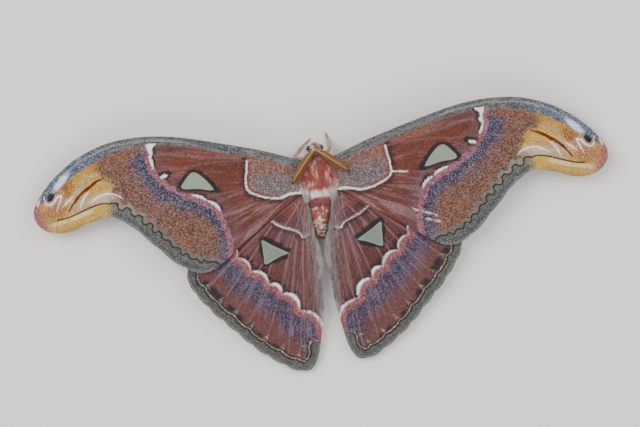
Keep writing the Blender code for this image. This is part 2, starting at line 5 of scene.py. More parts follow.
import bmesh
import bpy
import numpy as np
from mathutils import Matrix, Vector


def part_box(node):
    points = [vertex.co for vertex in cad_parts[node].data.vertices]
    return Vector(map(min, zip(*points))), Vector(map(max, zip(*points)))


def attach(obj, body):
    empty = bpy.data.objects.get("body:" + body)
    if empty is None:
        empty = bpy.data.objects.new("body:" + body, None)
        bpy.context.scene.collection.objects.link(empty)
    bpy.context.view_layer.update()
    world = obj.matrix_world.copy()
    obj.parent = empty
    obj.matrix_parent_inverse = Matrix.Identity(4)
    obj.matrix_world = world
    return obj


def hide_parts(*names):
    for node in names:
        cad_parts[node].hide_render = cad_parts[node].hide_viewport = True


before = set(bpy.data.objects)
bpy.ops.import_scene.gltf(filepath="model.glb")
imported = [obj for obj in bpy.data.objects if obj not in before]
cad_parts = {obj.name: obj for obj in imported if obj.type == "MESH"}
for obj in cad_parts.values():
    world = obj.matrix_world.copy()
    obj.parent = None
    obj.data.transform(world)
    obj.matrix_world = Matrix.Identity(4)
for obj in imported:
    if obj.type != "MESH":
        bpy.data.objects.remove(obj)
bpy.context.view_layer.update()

bl_info = {
    "name": "Atlas moth",
    "version": (1, 0, 0),
    "blender": (4, 5, 0),
    "location": "3D View > Sidebar > Moth",
    "description": "Wings, coat, feelers and legs of a resting atlas moth",
    "category": "Object",
}

MM = 0.001
SIDES = (("right", 1), ("left", -1))
DEEPEST = 0.46
FLOOR_CLEARANCE = 0.02


def shade(red, green, blue):
    """A colour given as it looks on a screen, 0 to 255, in the linear values that Blender mixes. Dark
    colours are deepened, so that the bright studio light shows them at their own strength."""
    value = np.array((red, green, blue), float) / 255
    linear = np.where(value <= 0.04045, value / 12.92, ((value + 0.055) / 1.055) ** 2.4)
    light = min(linear @ (0.2126, 0.7152, 0.0722) / 0.8, 1)
    return linear * (DEEPEST + (1 - DEEPEST) * light * light * (3 - 2 * light))


# Places on the frame. The moth's own zero is the middle of its thorax, in millimetres.
LEFT_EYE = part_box("eye_left")
RIGHT_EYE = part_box("eye_right")
EYE_MIDDLE = (2.1, 12.2, 8.8)
EYE_RADIUS = 1.25
ORIGIN = np.array(
    (
        (LEFT_EYE[0].x + RIGHT_EYE[1].x) / 2 / MM,
        (LEFT_EYE[0].y + LEFT_EYE[1].y) / 2 / MM - EYE_MIDDLE[1],
        0.0,
    )
)

# Height of the spread wings, as in the solids
DOME_TOP = 12.0
TIP_FALL = 6.0
TAIL_FALL = 8.3
HALF_SPAN = 110.0
TAIL_REACH = 72.0
FORE_LIFT = 0.2
HIND_DROP = 1.4
FORE_SLIP = {"right": (0.8, 0.5), "left": (-0.8, -0.5)}
HIND_SLIP = {"right": (-0.85, 1.2), "left": (0.85, -1.2)}
FORE_SLIP_REACH = 70.0
HIND_SLIP_REACH = 25.0
WING_ROOT = (4.0, 0.0)

# Outlines of the right wings from above
FORE_FRONT = [
    (2.6, 6.4), (6, 8.2), (10, 9.7), (20, 13.4), (30, 16.4), (40, 19.2), (50, 21.8), (60, 23.5), (70, 23.9),
    (80, 22.7), (90, 19.1), (97, 14.9), (103, 9.9), (107.5, 4.6), (109.9, 0.3),
]
FORE_OUTER = [
    (110.1, -3.2), (108.3, -6.2), (105, -8.5), (100.5, -9.5), (95, -8.7), (90, -7), (85, -5.4), (81, -5.2),
    (76.5, -7.2), (72.5, -10.3), (67, -15.9), (62, -21.2), (57, -25.9), (52, -28.9), (48, -30.1),
]
FORE_INNER = [
    (44, -29.6), (40, -27.3), (35, -23.6), (30, -19.9), (25, -16.6), (20, -13.2), (12, -7.7), (6, -3.8),
    (2.6, -1),
]
HIND_FRONT = [
    (2.8, -0.6), (8, -2.6), (16, -4), (27, -7.5), (38, -13.5), (46.5, -20), (51.2, -25.4), (52.9, -30.5)
]
HIND_OUTER = [
    (52.9, -30.5), (51.8, -34.4), (49.6, -38), (46.6, -42), (43.4, -45.9), (39.6, -49.8), (35.6, -54),
    (31.6, -58.2), (27.5, -61.9), (22, -66), (16.5, -69.4), (12, -70.9), (8.6, -69.8), (6.6, -67.3),
]
HIND_INNER = [
    (2.8, -3), (5.2, -5.4), (5, -8), (4.6, -12), (3.7, -17), (2.3, -21.5), (1.4, -25.5), (1.3, -30),
    (1.7, -36), (2.2, -44), (3.1, -52), (4.2, -58), (5.2, -63), (6.6, -67.3),
]

# Main veins of the right wings, from the root outwards
FORE_VEINS = [
    [(5, 6.6), (20, 12), (35, 16.6), (50, 20.3), (62, 22.1), (73, 22.3), (82, 21)],
    [
        (5, 4), (15, 8), (25, 11.6), (35, 14.2), (45, 17.1), (55, 19.1), (65, 19.7), (75, 18.6), (86, 15),
        (95, 10), (103, 3),
    ],
    [
        (26, 11.6), (38, 14), (45, 15.6), (54, 16.4), (62, 16), (72, 14.5), (84, 11), (93, 6.6), (100, 0.6),
        (104, -7),
    ],
    [
        (22, 9.6), (36, 11), (46, 10.7), (52, 10.2), (60, 10.1), (68, 9.5), (78, 7.3), (87, 3.8), (94, -1),
        (99, -8),
    ],
    [(49, 10.4), (58, 6), (66, 3.2), (74, 1), (80, -1.2), (84.5, -5)],
    [
        (5, -0.6), (18, -1.7), (27.5, 0), (36, -0.9), (46, -1.4), (53, -2), (61, -4.5), (68, -8.4),
        (72.5, -10.8),
    ],
    [(27, -0.6), (40, -4.6), (50, -9), (58, -14), (64.5, -18.8)],
    [(9, -1.4), (13, -4), (22, -6.6), (31, -10.2), (40, -14.2), (49, -19.2), (57.5, -25.8)],
    [(6, -3), (20, -10.4), (30, -16.4), (38, -21.8), (44, -26.4), (47.5, -29.6)],
]
HIND_VEINS = [
    [(6, -3.4), (20, -8.2), (33, -15), (43, -22.6), (52, -32)],
    [(6, -4.6), (18, -12.2), (29, -21), (39.5, -30), (48.8, -39)],
    [(18, -13.4), (28, -26), (36.5, -36.6), (44, -45.4)],
    [(6, -5.6), (16, -18), (24, -29), (32, -41), (39.8, -50)],
    [(16, -19), (22.5, -34), (28.5, -46), (35.4, -54.6)],
    [(6, -7), (12.6, -24), (16.6, -36), (22, -50), (27.4, -62)],
    [(9.8, -21), (13, -37), (15.4, -52), (18.4, -68.4)],
    [(5.6, -8), (8, -27), (9.4, -45), (11.8, -70.6)],
    [(4.8, -12), (4, -35), (4.8, -50), (7, -66)],
]
FORE_SCALLOPS = 7
HIND_SCALLOPS = 9
FORE_SCALLOP_DEPTH = 0.35
HIND_SCALLOP_DEPTH = 0.6
MEMBRANE = 0.34  # thickness of a wing with its scales
RIM = 0.12  # thickness at its edge
VEIN_RISE = 0.17
PLEAT = 0.16  # how far the membrane sags between veins
FRONT_INSET = 0.15  # how far the curved front edge lies inside the solids' chords

# Marks on the right forewing
FORE_BASAL_LINE = [
    (5.5, -4.4), (9, -4), (12, -4.3), (15, -5.2), (19, -4.9), (23, -3.6), (26, -2), (27.5, -0.4),
    (27.6, 2.5), (27.3, 5), (26.8, 7.5), (26.4, 10.2),
]
FORE_BASAL_STREAK = [(27.4, 0.2), (30, 0), (33.6, -0.6)]
FORE_CROSS_STROKES = [[(33.5, -14.2), (36, -15.6), (40, -17), (43, -18.2)], [(39, -19.2), (44, -20.8)]]
FORE_CELL_VEIN = [(29, 11.3), (38, 12.6), (46, 13.9), (54, 15.6), (61, 17)]
FORE_MIDDLE_LINE = [
    (64.6, 20.4), (64.2, 18.6), (63.6, 17), (63.9, 15.6), (63.7, 13.6), (62.8, 11.4), (61.6, 9.6), (60, 7.6),
    (57.5, 5.1), (54, 2.7), (51, 0.6), (48, -0.9), (45, -2.3), (42.4, -3.8), (40, -5.9), (38.5, -8.1),
    (37.4, -10.6), (36.6, -13), (36, -15.4), (35.4, -18), (35.2, -21), (36, -25),
]
COSTAL_X = [0, 10, 25, 30, 40, 50, 60, 70, 80, 90, 97, 103, 108]
COSTAL_Y = [2, 6, 11.5, 12.3, 15, 18.2, 19.8, 19.6, 17.6, 13.4, 8.9, 4.4, 1]
FORE_WINDOW = [
    (40.2, 0.7), (41.2, 2.4), (42.8, 4.5), (44.6, 6.4), (46.2, 7.7), (47.4, 8.1), (48.6, 7.9), (50.4, 6.2),
    (51.4, 5), (52.4, 3.8), (52.6, 2.9), (51.8, 2.3), (50, 2), (47.5, 1.9), (45, 1.5), (42.4, 0.8),
]
FORE_WINDOW_DARK = [
    (37.2, -0.6), (38.6, 1.6), (40.4, 4.2), (42.6, 6.8), (44.8, 8.6), (47, 9.3), (49.4, 8.9), (51.6, 7.2),
    (53.2, 5.2), (54.4, 3.4), (54, 2), (52.2, 1.3), (48, 1), (44.6, 0.6), (42, -0.2), (39.6, -0.7),
]
FORE_BLOB = [
    (55.3, 8.8), (56.4, 10), (58.2, 10.1), (60.2, 9.4), (61, 8.9), (60.6, 8), (59, 7.7), (58, 6.6),
    (57.2, 6), (57.2, 7.2),
]
FORE_SLIT = [(57.6, 8.3), (58.6, 8.5), (60.2, 8), (59.8, 7.5), (58.2, 7.7)]
YELLOW_EDGE = [(88, 19), (85.6, 15.6), (83.6, 12.4), (79.6, 9.6), (77.4, 6.4), (76.4, 3), (75, -0.4)]
RED_STREAK = [(81.4, 9.9), (85, 8.6), (89, 6), (91.6, 4.2), (93.4, 2.4), (95.2, 0.2), (96.4, -1.6)]
CRESCENTS = [
    [(75.4, 0.8), (76.4, 2), (78.5, 3.1), (81, 3.6), (84, 3.1), (86.8, 1.7), (88.6, 0.4)],
    [(88.4, 5), (90, 3.2), (91.2, 1.2), (92.2, -0.8)],
    [(94.4, 4), (96.6, 2.2), (98.6, 0.4)],
    [
        (101.2, -1), (100.2, 1), (99.2, 3.4), (98.8, 4.7), (100.4, 4.3), (101.8, 2.6), (103.4, 1.7),
        (104.8, 2.1), (105.3, 3.4), (105.6, 5.2),
    ],
    [(107.4, 4.1), (108.6, 1.5)],
]

# Marks on the right hindwing
HIND_BASAL_LINE = [
    (18.8, -12.6), (16.6, -14.2), (14.5, -15.5), (11, -16.9), (8.5, -18.2), (7.2, -20), (6, -19.6),
    (4.6, -19),
]
HIND_WINDOW = [
    (13, -25.3), (16, -23.6), (19.4, -21.6), (22.8, -19.4), (22.9, -22), (22.8, -26), (22.5, -28.6),
    (19, -27.2), (16, -26),
]
HIND_WINDOW_DARK = [
    (11.6, -23.6), (14.6, -22.2), (18, -19.8), (21.6, -17.6), (23.6, -17.8), (24.2, -20), (24.6, -23.4),
    (23.8, -27), (23.3, -29.8), (19.6, -29), (16, -28.2), (14, -27.4), (12.6, -25.6),
]
HIND_CUSPS = [
    (36.4, -18.8), (32.9, -25.2), (28.4, -30.8), (22, -36.5), (17.4, -40.3), (11.4, -47.4), (3, -58.4)
]
HIND_WHITE = [0.35, 0.4, 0.75, 1.0, 1.2, 0.85]  # width of the white in each arc
HIND_SPOTS = [
    (46.05, -33.6), (43.05, -37), (41.05, -39.6), (37.65, -44.2), (34.85, -47.8), (31.05, -52),
    (28.25, -55.4), (22.25, -60.6), (19.25, -63.2), (8.05, -64.8),
]

# Body: distance along Y, middle's X and Z, half width and half height of the skin under the coat
BODY_SECTIONS = [
    (14.1, 0, 8.3, 0.2, 0.25), (13.7, 0, 8.35, 1.1, 1.2), (12.9, 0, 8.5, 1.75, 1.9),
    (11.7, 0, 8.7, 2.05, 2.2), (10.4, 0, 8.9, 1.8, 2.0), (9.5, 0, 9.1, 1.75, 1.9), (8.7, 0, 9.3, 2.7, 2.7),
    (7.2, 0, 9.5, 4.1, 3.8), (5, 0, 9.6, 5.1, 4.5), (2.4, 0, 9.6, 5.5, 4.7), (-0.2, 0, 9.6, 5.1, 4.4),
    (-2.3, 0, 9.5, 4.3, 3.8), (-3.5, 0, 9.3, 3.9, 3.5), (-4.6, 0, 9.2, 4.1, 3.6), (-6, -0.1, 8.9, 4.3, 3.8),
    (-9, -0.4, 8.0, 4.1, 3.7), (-12, -0.7, 6.7, 3.9, 3.3), (-15, -1.0, 5.3, 3.5, 2.9),
    (-18, -1.2, 3.6, 2.9, 2.4), (-20.5, -1.3, 2.3, 2.1, 1.6), (-21.6, -1.3, 1.8, 1.3, 0.7),
    (-21.9, -1.3, 1.7, 0.1, 0.1),
]
ABDOMEN_START = -6.5
ABDOMEN_PITCH = 2.15

# Cream spots on the abdomen from above, partly painted glints: middle, half width and half length
ABDOMEN_SPOTS = [
    (-2.2, -10.0, 1.0, 0.5), (0.6, -10.0, 0.6, 0.5), (2.1, -11.2, 0.4, 0.6), (-1.2, -12.3, 0.6, 0.4),
    (0.6, -12.4, 0.6, 0.4), (-0.9, -13.8, 0.6, 0.5), (-0.7, -14.9, 2.9, 0.4), (-3.3, -15.7, 0.8, 0.6),
    (-1.4, -15.9, 1.2, 0.35), (-2.8, -17.1, 0.9, 0.4), (0.2, -17.0, 2.0, 0.4), (-0.7, -18.0, 1.5, 0.45),
    (-2.5, -18.5, 0.8, 0.5), (0.9, -18.5, 0.6, 0.6), (-1.7, -19.5, 1.3, 0.4), (0.2, -19.6, 0.8, 0.6),
    (-2.1, -20.5, 0.9, 0.5), (-0.5, -21.1, 1.2, 0.6),
]
LEGS = {
    "front": ((1.8, 7.0, 7.2), (5.6, 11.7, 8.2), (5.3, 14.8, 1.5), (4.5, 18.4, 0.3)),
    "mid": ((2.8, 3.0, 6.6), (8.4, 4.6, 8.4), (12.6, 3.2, 1.5), (16.6, 1.4, 0.3)),
    "hind": ((2.6, -0.6, 6.8), (7.2, -6.4, 7.4), (10.8, -13.6, 1.5), (13.0, -20.0, 0.3)),
}
# The left front leg is held out from under the wing and turned in, told as if it were on the right
LEFT_FRONT_LEG = ((1.8, 7.0, 7.2), (8.4, 9.4, 8.0), (4.4, 13.8, 1.5), (0.9, 16.6, 0.3))
FEELERS = {
    "right": ((0.7, 11.3, 10.8), (1.5, 10.5, 13.8), (4.2, 8.4, 15.6), (8.0, 5.4, 16.2), (12.3, 1.95, 15.6)),
    "left": (
        (-0.9, 11.3, 10.8), (-1.6, 10.3, 13.8), (-4.0, 7.4, 15.6), (-7.0, 3.6, 16.2), (-10.3, -0.75, 15.6)
    ),
}

# Feelers, legs, coat and grids: counts, sizes in millimetres, and the seeds of the random draws
RAY_PAIRS = 62
RAY_LENGTH = 2.15
RAY_ROWS = ((0.75, 0.42), (0.2, 0.66))  # angle forwards and angle down of the two rows on each side
LEG_AROUND = 14  # points around a leg
LEG_HAIRS = 1500
CLAW_LENGTH = 0.75
CLAW_SPREAD = 0.32
CLAW_HOOK = 0.12
NECK = 9.6  # where the head's coat begins, along Y
WAIST = -3.3  # where the abdomen's coat begins
ROOT_HAIRS = 5200
EDGE_HAIRS = 6200
TUFT_FLATNESS = 0.45
ROOT_DEPTH = 0.12  # how far tufts start under the skin
COAT_SEED = 21
FEELER_SEED = 3
ROOT_HAIR_SEED = 31
EDGE_HAIR_SEED = 51
FOREWING_SEED = 40
HINDWING_SEED = 60
HINDWING_GRID = (300, 158)
BODY_GRID = (220, 96)
EYE_GRID = (33, 64)
BODY_SEED = 5
SHAFT_POINTS = 60
SHAFT_AROUND = 10
SKIN_SHADE = 0.7  # the skin is darker than the coat on it
FORE_WAVES = 17  # waves of the dark line in the forewing's border
WAVE_SEED = 71

# Materials: cells or waves of a texture in a metre, and heights of bumps in metres
INK_GRAIN = 3200
EYE_FACETS = 9000
SCALE_BUMP = 0.00006
FACET_BUMP = 0.00004

# Where the photograph's camera stands over the moth
PICTURE_WIDTH = 243.2
PICTURE_MIDDLE = (-0.69, -12.73)
PICTURE_TURN = 6.0
PICTURE_HEIGHT = DOME_TOP - 2  # where the picture is that wide
LENS = 150.0
SENSOR = 36.0
FLOOR_WIDTH = 4.0
WORLD_LIGHT = 0.6

# Name, place in metres, size and share of the light
LAMPS = (
    ("key_lamp", (-0.7, 0.5, 1.1), 0.9, 1.0),
    ("fill_lamp", (0.9, 0.3, 0.9), 1.0, 0.45),
    ("back_lamp", (0.1, -1.0, 0.9), 1.0, 0.45),
)

# Numbers, lines and areas


def smooth_step(share):
    """0 below 0, 1 above 1, and 3 s squared less 2 s cubed between."""
    share = np.clip(share, 0, 1)
    return share * share * (3 - 2 * share)


def rise(value, start, width):
    """0 up to the start, 1 from a width beyond it on, and an even S between."""
    return smooth_step((value - start) / width)


def fall(value, end, width):
    """1 up to a width before the end, 0 from it on, and an even S between."""
    return smooth_step((end - value) / width)


def bell(value, width):
    """e to the power of minus the square of the value over the width."""
    return np.exp(-((value / width) ** 2))


def unit(vectors):
    """The vectors at length 1."""
    return vectors / (np.linalg.norm(vectors, axis=-1, keepdims=True) + 1e-9)


def blend(first, second, share):
    """Colours that go from the first to the second by each point's share."""
    return first + (second - first) * share[:, None]


def between(value, low, high, soft):
    """1 where the value lies between low and high, falling to 0 over the soft width at both ends."""
    return smooth_step((value - low) / soft + 0.5) * smooth_step((high - value) / soft + 0.5)


def curve_through(points, spans=10):
    """A Catmull-Rom curve through the points, which it passes in order."""
    knots = np.array(points, float)
    knots = np.vstack([2 * knots[0] - knots[1], knots, 2 * knots[-1] - knots[-2]])
    t = np.linspace(0, 1, spans, endpoint=False)[:, None]
    a, b, c, d = (knots[i : len(knots) - 3 + i, None] for i in range(4))
    cubic = 2 * b + (c - a) * t + (2 * a - 5 * b + 4 * c - d) * t**2 + (3 * b - a - 3 * c + d) * t**3
    return np.vstack([0.5 * cubic.reshape(-1, knots.shape[1]), knots[-2:-1]])


def run_of(line):
    """Distance along a line at each of its points."""
    return np.concatenate([[0], np.cumsum(np.linalg.norm(np.diff(line, axis=0), axis=1))])


def placed_on(line, shares):
    """The points at these shares of a line's length."""
    run = run_of(line)
    return np.stack([np.interp(shares * run[-1], run, line[:, i]) for i in range(line.shape[1])], axis=-1)


def measure(points, line):
    """For every point: its distance to the line, positive on the line's left, and the share of the
    line's length at which that nearest place lies. Each point is set against each segment."""
    points = points.astype(np.float32)
    start, leg = line[:-1].astype(np.float32), np.diff(line, axis=0).astype(np.float32)
    length = np.linalg.norm(leg, axis=1)
    rel = points[:, None] - start
    share = np.clip((rel * leg).sum(2) / length**2, 0, 1)
    apart = ((rel - share[..., None] * leg) ** 2).sum(2)
    near = apart.argmin(1)
    row = np.arange(len(points))
    side = leg[near, 0] * rel[row, near, 1] - leg[near, 1] * rel[row, near, 0]
    run = run_of(line)
    along = (run[near] + share[row, near] * length[near]) / run[-1]
    return np.sqrt(apart[row, near]) * np.where(side < 0, -1, 1), along


def beside(points, knots, spans=6):
    """What measure gives for the curve through the knots."""
    return measure(points, curve_through(knots, spans))


def depth_in(points, outline):
    """How deep every point lies inside a closed outline, negative outside it."""
    line = curve_through(list(outline) + [outline[0]], 4)
    away, _ = measure(points, line)
    a, b = line[:-1], line[1:]
    x, y = points[:, :1], points[:, 1:]
    crosses = (a[:, 1] > y) != (b[:, 1] > y)
    tall = np.where(b[:, 1] == a[:, 1], 1, b[:, 1] - a[:, 1])
    at = a[:, 0] + (y - a[:, 1]) * (b[:, 0] - a[:, 0]) / tall
    odd = (crosses & (x < at)).sum(1) % 2 == 1
    return np.where(odd, 1, -1) * np.abs(away)


def clouds(points, size, seed, octaves=3):
    """Smooth random values from about -1 to 1. Random numbers on a lattice are blended by an even S
    between its corners, and each further lattice is twice as fine and 0.62 times as strong."""
    draw = np.random.default_rng(seed)
    total = np.zeros(len(points))
    for octave in range(octaves):
        lattice = draw.uniform(-1, 1, (64, 64))
        place = points / size * 2**octave + 640
        cell = np.floor(place).astype(int)
        part = smooth_step(place - cell)
        i, j = cell[:, 0] % 64, cell[:, 1] % 64
        i2, j2 = (i + 1) % 64, (j + 1) % 64
        low = lattice[i, j] * (1 - part[:, 0]) + lattice[i2, j] * part[:, 0]
        high = lattice[i, j2] * (1 - part[:, 0]) + lattice[i2, j2] * part[:, 0]
        total += (low * (1 - part[:, 1]) + high * part[:, 1]) * 0.62**octave
    return total


def ellipse(points, middle, half, turn=0.0):
    """1 in the heart of an ellipse and 0 at its edge, fading evenly."""
    angle = math.radians(turn)
    rel = points - np.array(middle)
    u = rel[:, 0] * math.cos(angle) + rel[:, 1] * math.sin(angle)
    v = rel[:, 1] * math.cos(angle) - rel[:, 0] * math.sin(angle)
    return smooth_step(1.6 * (1 - np.hypot(u / half[0], v / half[1])))


def dome(x, y):
    """Height of the wings: it falls with the square of x and the 1.4th power of the way back."""
    return DOME_TOP - TIP_FALL * (x / HALF_SPAN) ** 2 - TAIL_FALL * (np.maximum(-y, 0) / TAIL_REACH) ** 1.4


def slipped(points, slip, reach):
    """Points of a wing moved by its slip, fully beyond reach from the root and not at all at it."""
    away = np.linalg.norm(points - np.array(WING_ROOT), axis=-1) / reach
    return points + np.array(slip) * smooth_step(away)[..., None]


# Meshes


def mesh_object(name, verts, faces, material):
    """A smooth object from points in the moth's millimetres, moved to the frame in metres."""
    mesh = bpy.data.meshes.new(name)
    verts = np.array(verts, float)
    verts[:, 2] = np.maximum(verts[:, 2], FLOOR_CLEARANCE)
    verts = ((verts + ORIGIN) * MM).astype(np.float32)
    mesh.vertices.add(len(verts))
    mesh.vertices.foreach_set("co", verts.ravel())
    sizes = np.concatenate([np.full(len(block), block.shape[1]) for block in faces])
    corners = np.concatenate([block.ravel() for block in faces]).astype(np.int32)
    mesh.loops.add(len(corners))
    mesh.loops.foreach_set("vertex_index", corners)
    mesh.polygons.add(len(sizes))
    starts = np.concatenate([[0], np.cumsum(sizes)[:-1]]).astype(np.int32)
    mesh.polygons.foreach_set("loop_start", starts)
    mesh.polygons.foreach_set("use_smooth", np.full(len(sizes), True))
    mesh.update(calc_edges=True)
    mesh.validate()
    mesh.materials.append(material)
    made = bpy.data.objects.new(name, mesh)
    bpy.context.scene.collection.objects.link(made)
    return made


def paint(piece, name, colours):
    """Stores one colour for each point of a mesh."""
    layer = piece.data.color_attributes.new(name, "FLOAT_COLOR", "POINT")
    rgba = np.ones((len(colours), 4), np.float32)
    rgba[:, :3] = colours
    layer.data.foreach_set("color", rgba.ravel())


def store(piece, name, values):
    """Stores one number for each point of a mesh."""
    layer = piece.data.attributes.new(name, "FLOAT", "POINT")
    layer.data.foreach_set("value", np.asarray(values, np.float32))


def grid_faces(rows, columns, wrap=False, first=0):
    """Quads between neighbours of a rows by columns grid, its columns joined in a ring if wrapped."""
    i, j = np.meshgrid(np.arange(rows - 1), np.arange(columns if wrap else columns - 1), indexing="ij")
    i, j = i.ravel(), j.ravel()
    k = (j + 1) % columns
    quads = np.stack(
        [i * columns + j, i * columns + k, (i + 1) * columns + k, (i + 1) * columns + j], axis=1
    )
    return first + quads


def tube_points(path, radii, around, up=(0, 0, 1)):
    """Rings about a path: each point is the path plus the radius times the cosine across it and the
    sine along its upward normal. Also gives the outward directions."""
    along = unit(np.gradient(path, axis=0))
    side = unit(np.cross(along, np.array(up, float)))
    above = np.cross(side, along)
    turn = np.linspace(0, 2 * math.pi, around, endpoint=False)[:, None]
    out = side[:, None] * np.cos(turn) + above[:, None] * np.sin(turn)
    return path[:, None] + out * np.asarray(radii)[:, None, None], out


def closed_tube(rings):
    """Vertices and faces of a tube whose two ends are closed by a point in their middle."""
    rows, around = rings.shape[:2]
    verts = np.vstack([rings.reshape(-1, 3), rings[0].mean(0), rings[-1].mean(0)])
    j = np.arange(around)
    k = (j + 1) % around
    last = (rows - 1) * around
    start_fan = np.stack([k, j, np.full(around, rows * around)], axis=1)
    end_fan = np.stack([last + j, last + k, np.full(around, rows * around + 1)], axis=1)
    return verts, [grid_faces(rows, around, wrap=True), start_fan, end_fan]


def joined(parts):
    """Several lists of vertices and faces as one."""
    verts, faces, first = [], [], 0
    for some, blocks in parts:
        verts.append(some)
        faces += [block + first for block in blocks]
        first += len(some)
    return np.vstack(verts), faces


def outward(piece):
    """Turns every face of a closed mesh outwards."""
    work = bmesh.new()
    work.from_mesh(piece.data)
    bmesh.ops.recalc_face_normals(work, faces=work.faces)
    work.to_mesh(piece.data)
    work.free()
    return piece


# Tufts of the coat


def tuft_mesh(roots, normals, lie, length, width, lift, curl):
    """One tapered three-sided tuft for each root. Its middle line leaves the root along its lie, raised
    by the lift angle, and bends back to the skin with the square of the way along it, by curl. It is a
    flat triangle across, whose width shrinks as one less the 1.5th power of that way."""
    count = len(roots)
    length, width, lift, curl = (
        np.broadcast_to(value, count)[:, None] for value in (length, width, lift, curl)
    )
    lie = unit(lie - (lie * normals).sum(1)[:, None] * normals)
    side = np.cross(lie, normals)
    share = np.array((0.0, 0.35, 0.7, 1.0))
    reach = length * share * np.cos(lift)
    height = length * (share * np.sin(lift) - curl * share**2) - ROOT_DEPTH
    middle = roots[:, None] + lie[:, None] * reach[..., None] + normals[:, None] * height[..., None]
    size = width * (1 - 0.97 * share**1.5) / 2
    corner = np.array(((-1, 0), (1, 0), (0, TUFT_FLATNESS)))
    around = side[:, None, None] * corner[:, :1] + normals[:, None, None] * corner[:, 1:]
    points = middle[:, :3, None] + around * size[:, :3, None, None]
    verts = np.concatenate([points.reshape(count, 9, 3), middle[:, 3:]], axis=1)
    bands = np.array([(a, a + 3, b + 3, b) for a, b in ((0, 1), (1, 2), (2, 0), (3, 4), (4, 5), (5, 3))])
    tips = np.array([(6, 9, 7), (7, 9, 8), (8, 9, 6), (0, 1, 2)])
    first = (np.arange(count) * 10)[:, None, None]
    return verts.reshape(-1, 3), [(bands + first).reshape(-1, 4), (tips + first).reshape(-1, 3)]


def coat_piece(name, roots, normals, lie, length, width, lift, curl, colours, places, material):
    """A joined mesh of tufts, darker at the root by painted shade. On OFBake each tuft has a small patch at
    its root's place on the unwrapped skin."""
    verts, faces = tuft_mesh(roots, normals, lie, length, width, lift, curl)
    piece = mesh_object(name, verts, faces, material)
    # painted shade: each tuft is darkened at its root and lightened a little towards its tip
    painted_root_shade = np.repeat((0.62, 1.0, 1.06, 1.1), (3, 3, 3, 1))
    paint(piece, "coat_colour", (colours[:, None] * painted_root_shade[:, None]).reshape(-1, 3))
    step = np.array([(0, 0), (1, 0), (0.5, 1), (0, 1), (1, 1), (0.5, 2), (0, 2), (1, 2), (0.5, 3), (0.5, 3)])
    spots = (places[:, None] * 0.99 + 0.002 + step * (0.001, 0.0009)).reshape(-1, 2)
    corners = np.empty(len(piece.data.loops), np.int32)
    piece.data.loops.foreach_get("vertex_index", corners)
    layer = piece.data.uv_layers.new(name="OFBake")
    layer.data.foreach_set("uv", spots[corners].astype(np.float32).ravel())
    return piece


# Materials


def plug(tree, value, socket):
    """Sets an input to a plain number, or links another node's output to it."""
    if isinstance(value, (int, float)):
        socket.default_value = value
    else:
        tree.links.new(value, socket)


def new_material(name, roughness, sheen=0.0):
    """A Principled material. Gives the material, its tree and its shader."""
    made = bpy.data.materials.new(name)
    made.use_nodes = True
    shader = made.node_tree.nodes["Principled BSDF"]
    shader.inputs["Roughness"].default_value = roughness
    shader.inputs["Sheen Weight"].default_value = sheen
    shader.inputs["Sheen Roughness"].default_value = 0.5
    shader.inputs["Specular IOR Level"].default_value = 0.2
    return made, made.node_tree, shader


def attribute(tree, name, output="Color"):
    """What a mesh's own layer of that name holds."""
    node = tree.nodes.new("ShaderNodeAttribute")
    node.attribute_name = name
    return node.outputs[output]


def number(tree, operation, first, second=0.0):
    """A Math node on two inputs, each a socket or a plain number."""
    node = tree.nodes.new("ShaderNodeMath")
    node.operation = operation
    for socket, value in zip(node.inputs, (first, second)):
        plug(tree, value, socket)
    return node.outputs[0]


def mixed(tree, share, first, second):
    """A colour between two, each a socket."""
    node = tree.nodes.new("ShaderNodeMix")
    node.data_type = "RGBA"
    for place, source in ((0, share), (6, first), (7, second)):
        plug(tree, source, node.inputs[place])
    return node.outputs[2]


def texture(tree, kind, scale):
    """A texture node of that kind on the object's own coordinates."""
    made = tree.nodes.new(f"ShaderNodeTex{kind}")
    plug(tree, tree.nodes.new("ShaderNodeTexCoord").outputs["Object"], made.inputs["Vector"])
    plug(tree, scale, made.inputs["Scale"])
    return made


def bumped(tree, height, distance, shader):
    """Raises a material's surface by the height, at half strength."""
    bump = tree.nodes.new("ShaderNodeBump")
    bump.inputs["Strength"].default_value = 0.5
    bump.inputs["Distance"].default_value = distance
    plug(tree, height, bump.inputs["Height"])
    plug(tree, bump.outputs[0], shader.inputs["Normal"])
    return bump


def new_group(name, inputs, outputs):
    """An empty node group with inputs and outputs named by their kind. Gives it and the two rows of
    sockets inside it."""
    group = bpy.data.node_groups.new(name, "ShaderNodeTree")
    for way, sockets in (("INPUT", inputs), ("OUTPUT", outputs)):
        for kind, labels in sockets.items():
            for label in labels:
                group.interface.new_socket(name=label, in_out=way, socket_type=f"NodeSocket{kind}")
    return group, group.nodes.new("NodeGroupInput").outputs, group.nodes.new("NodeGroupOutput").inputs


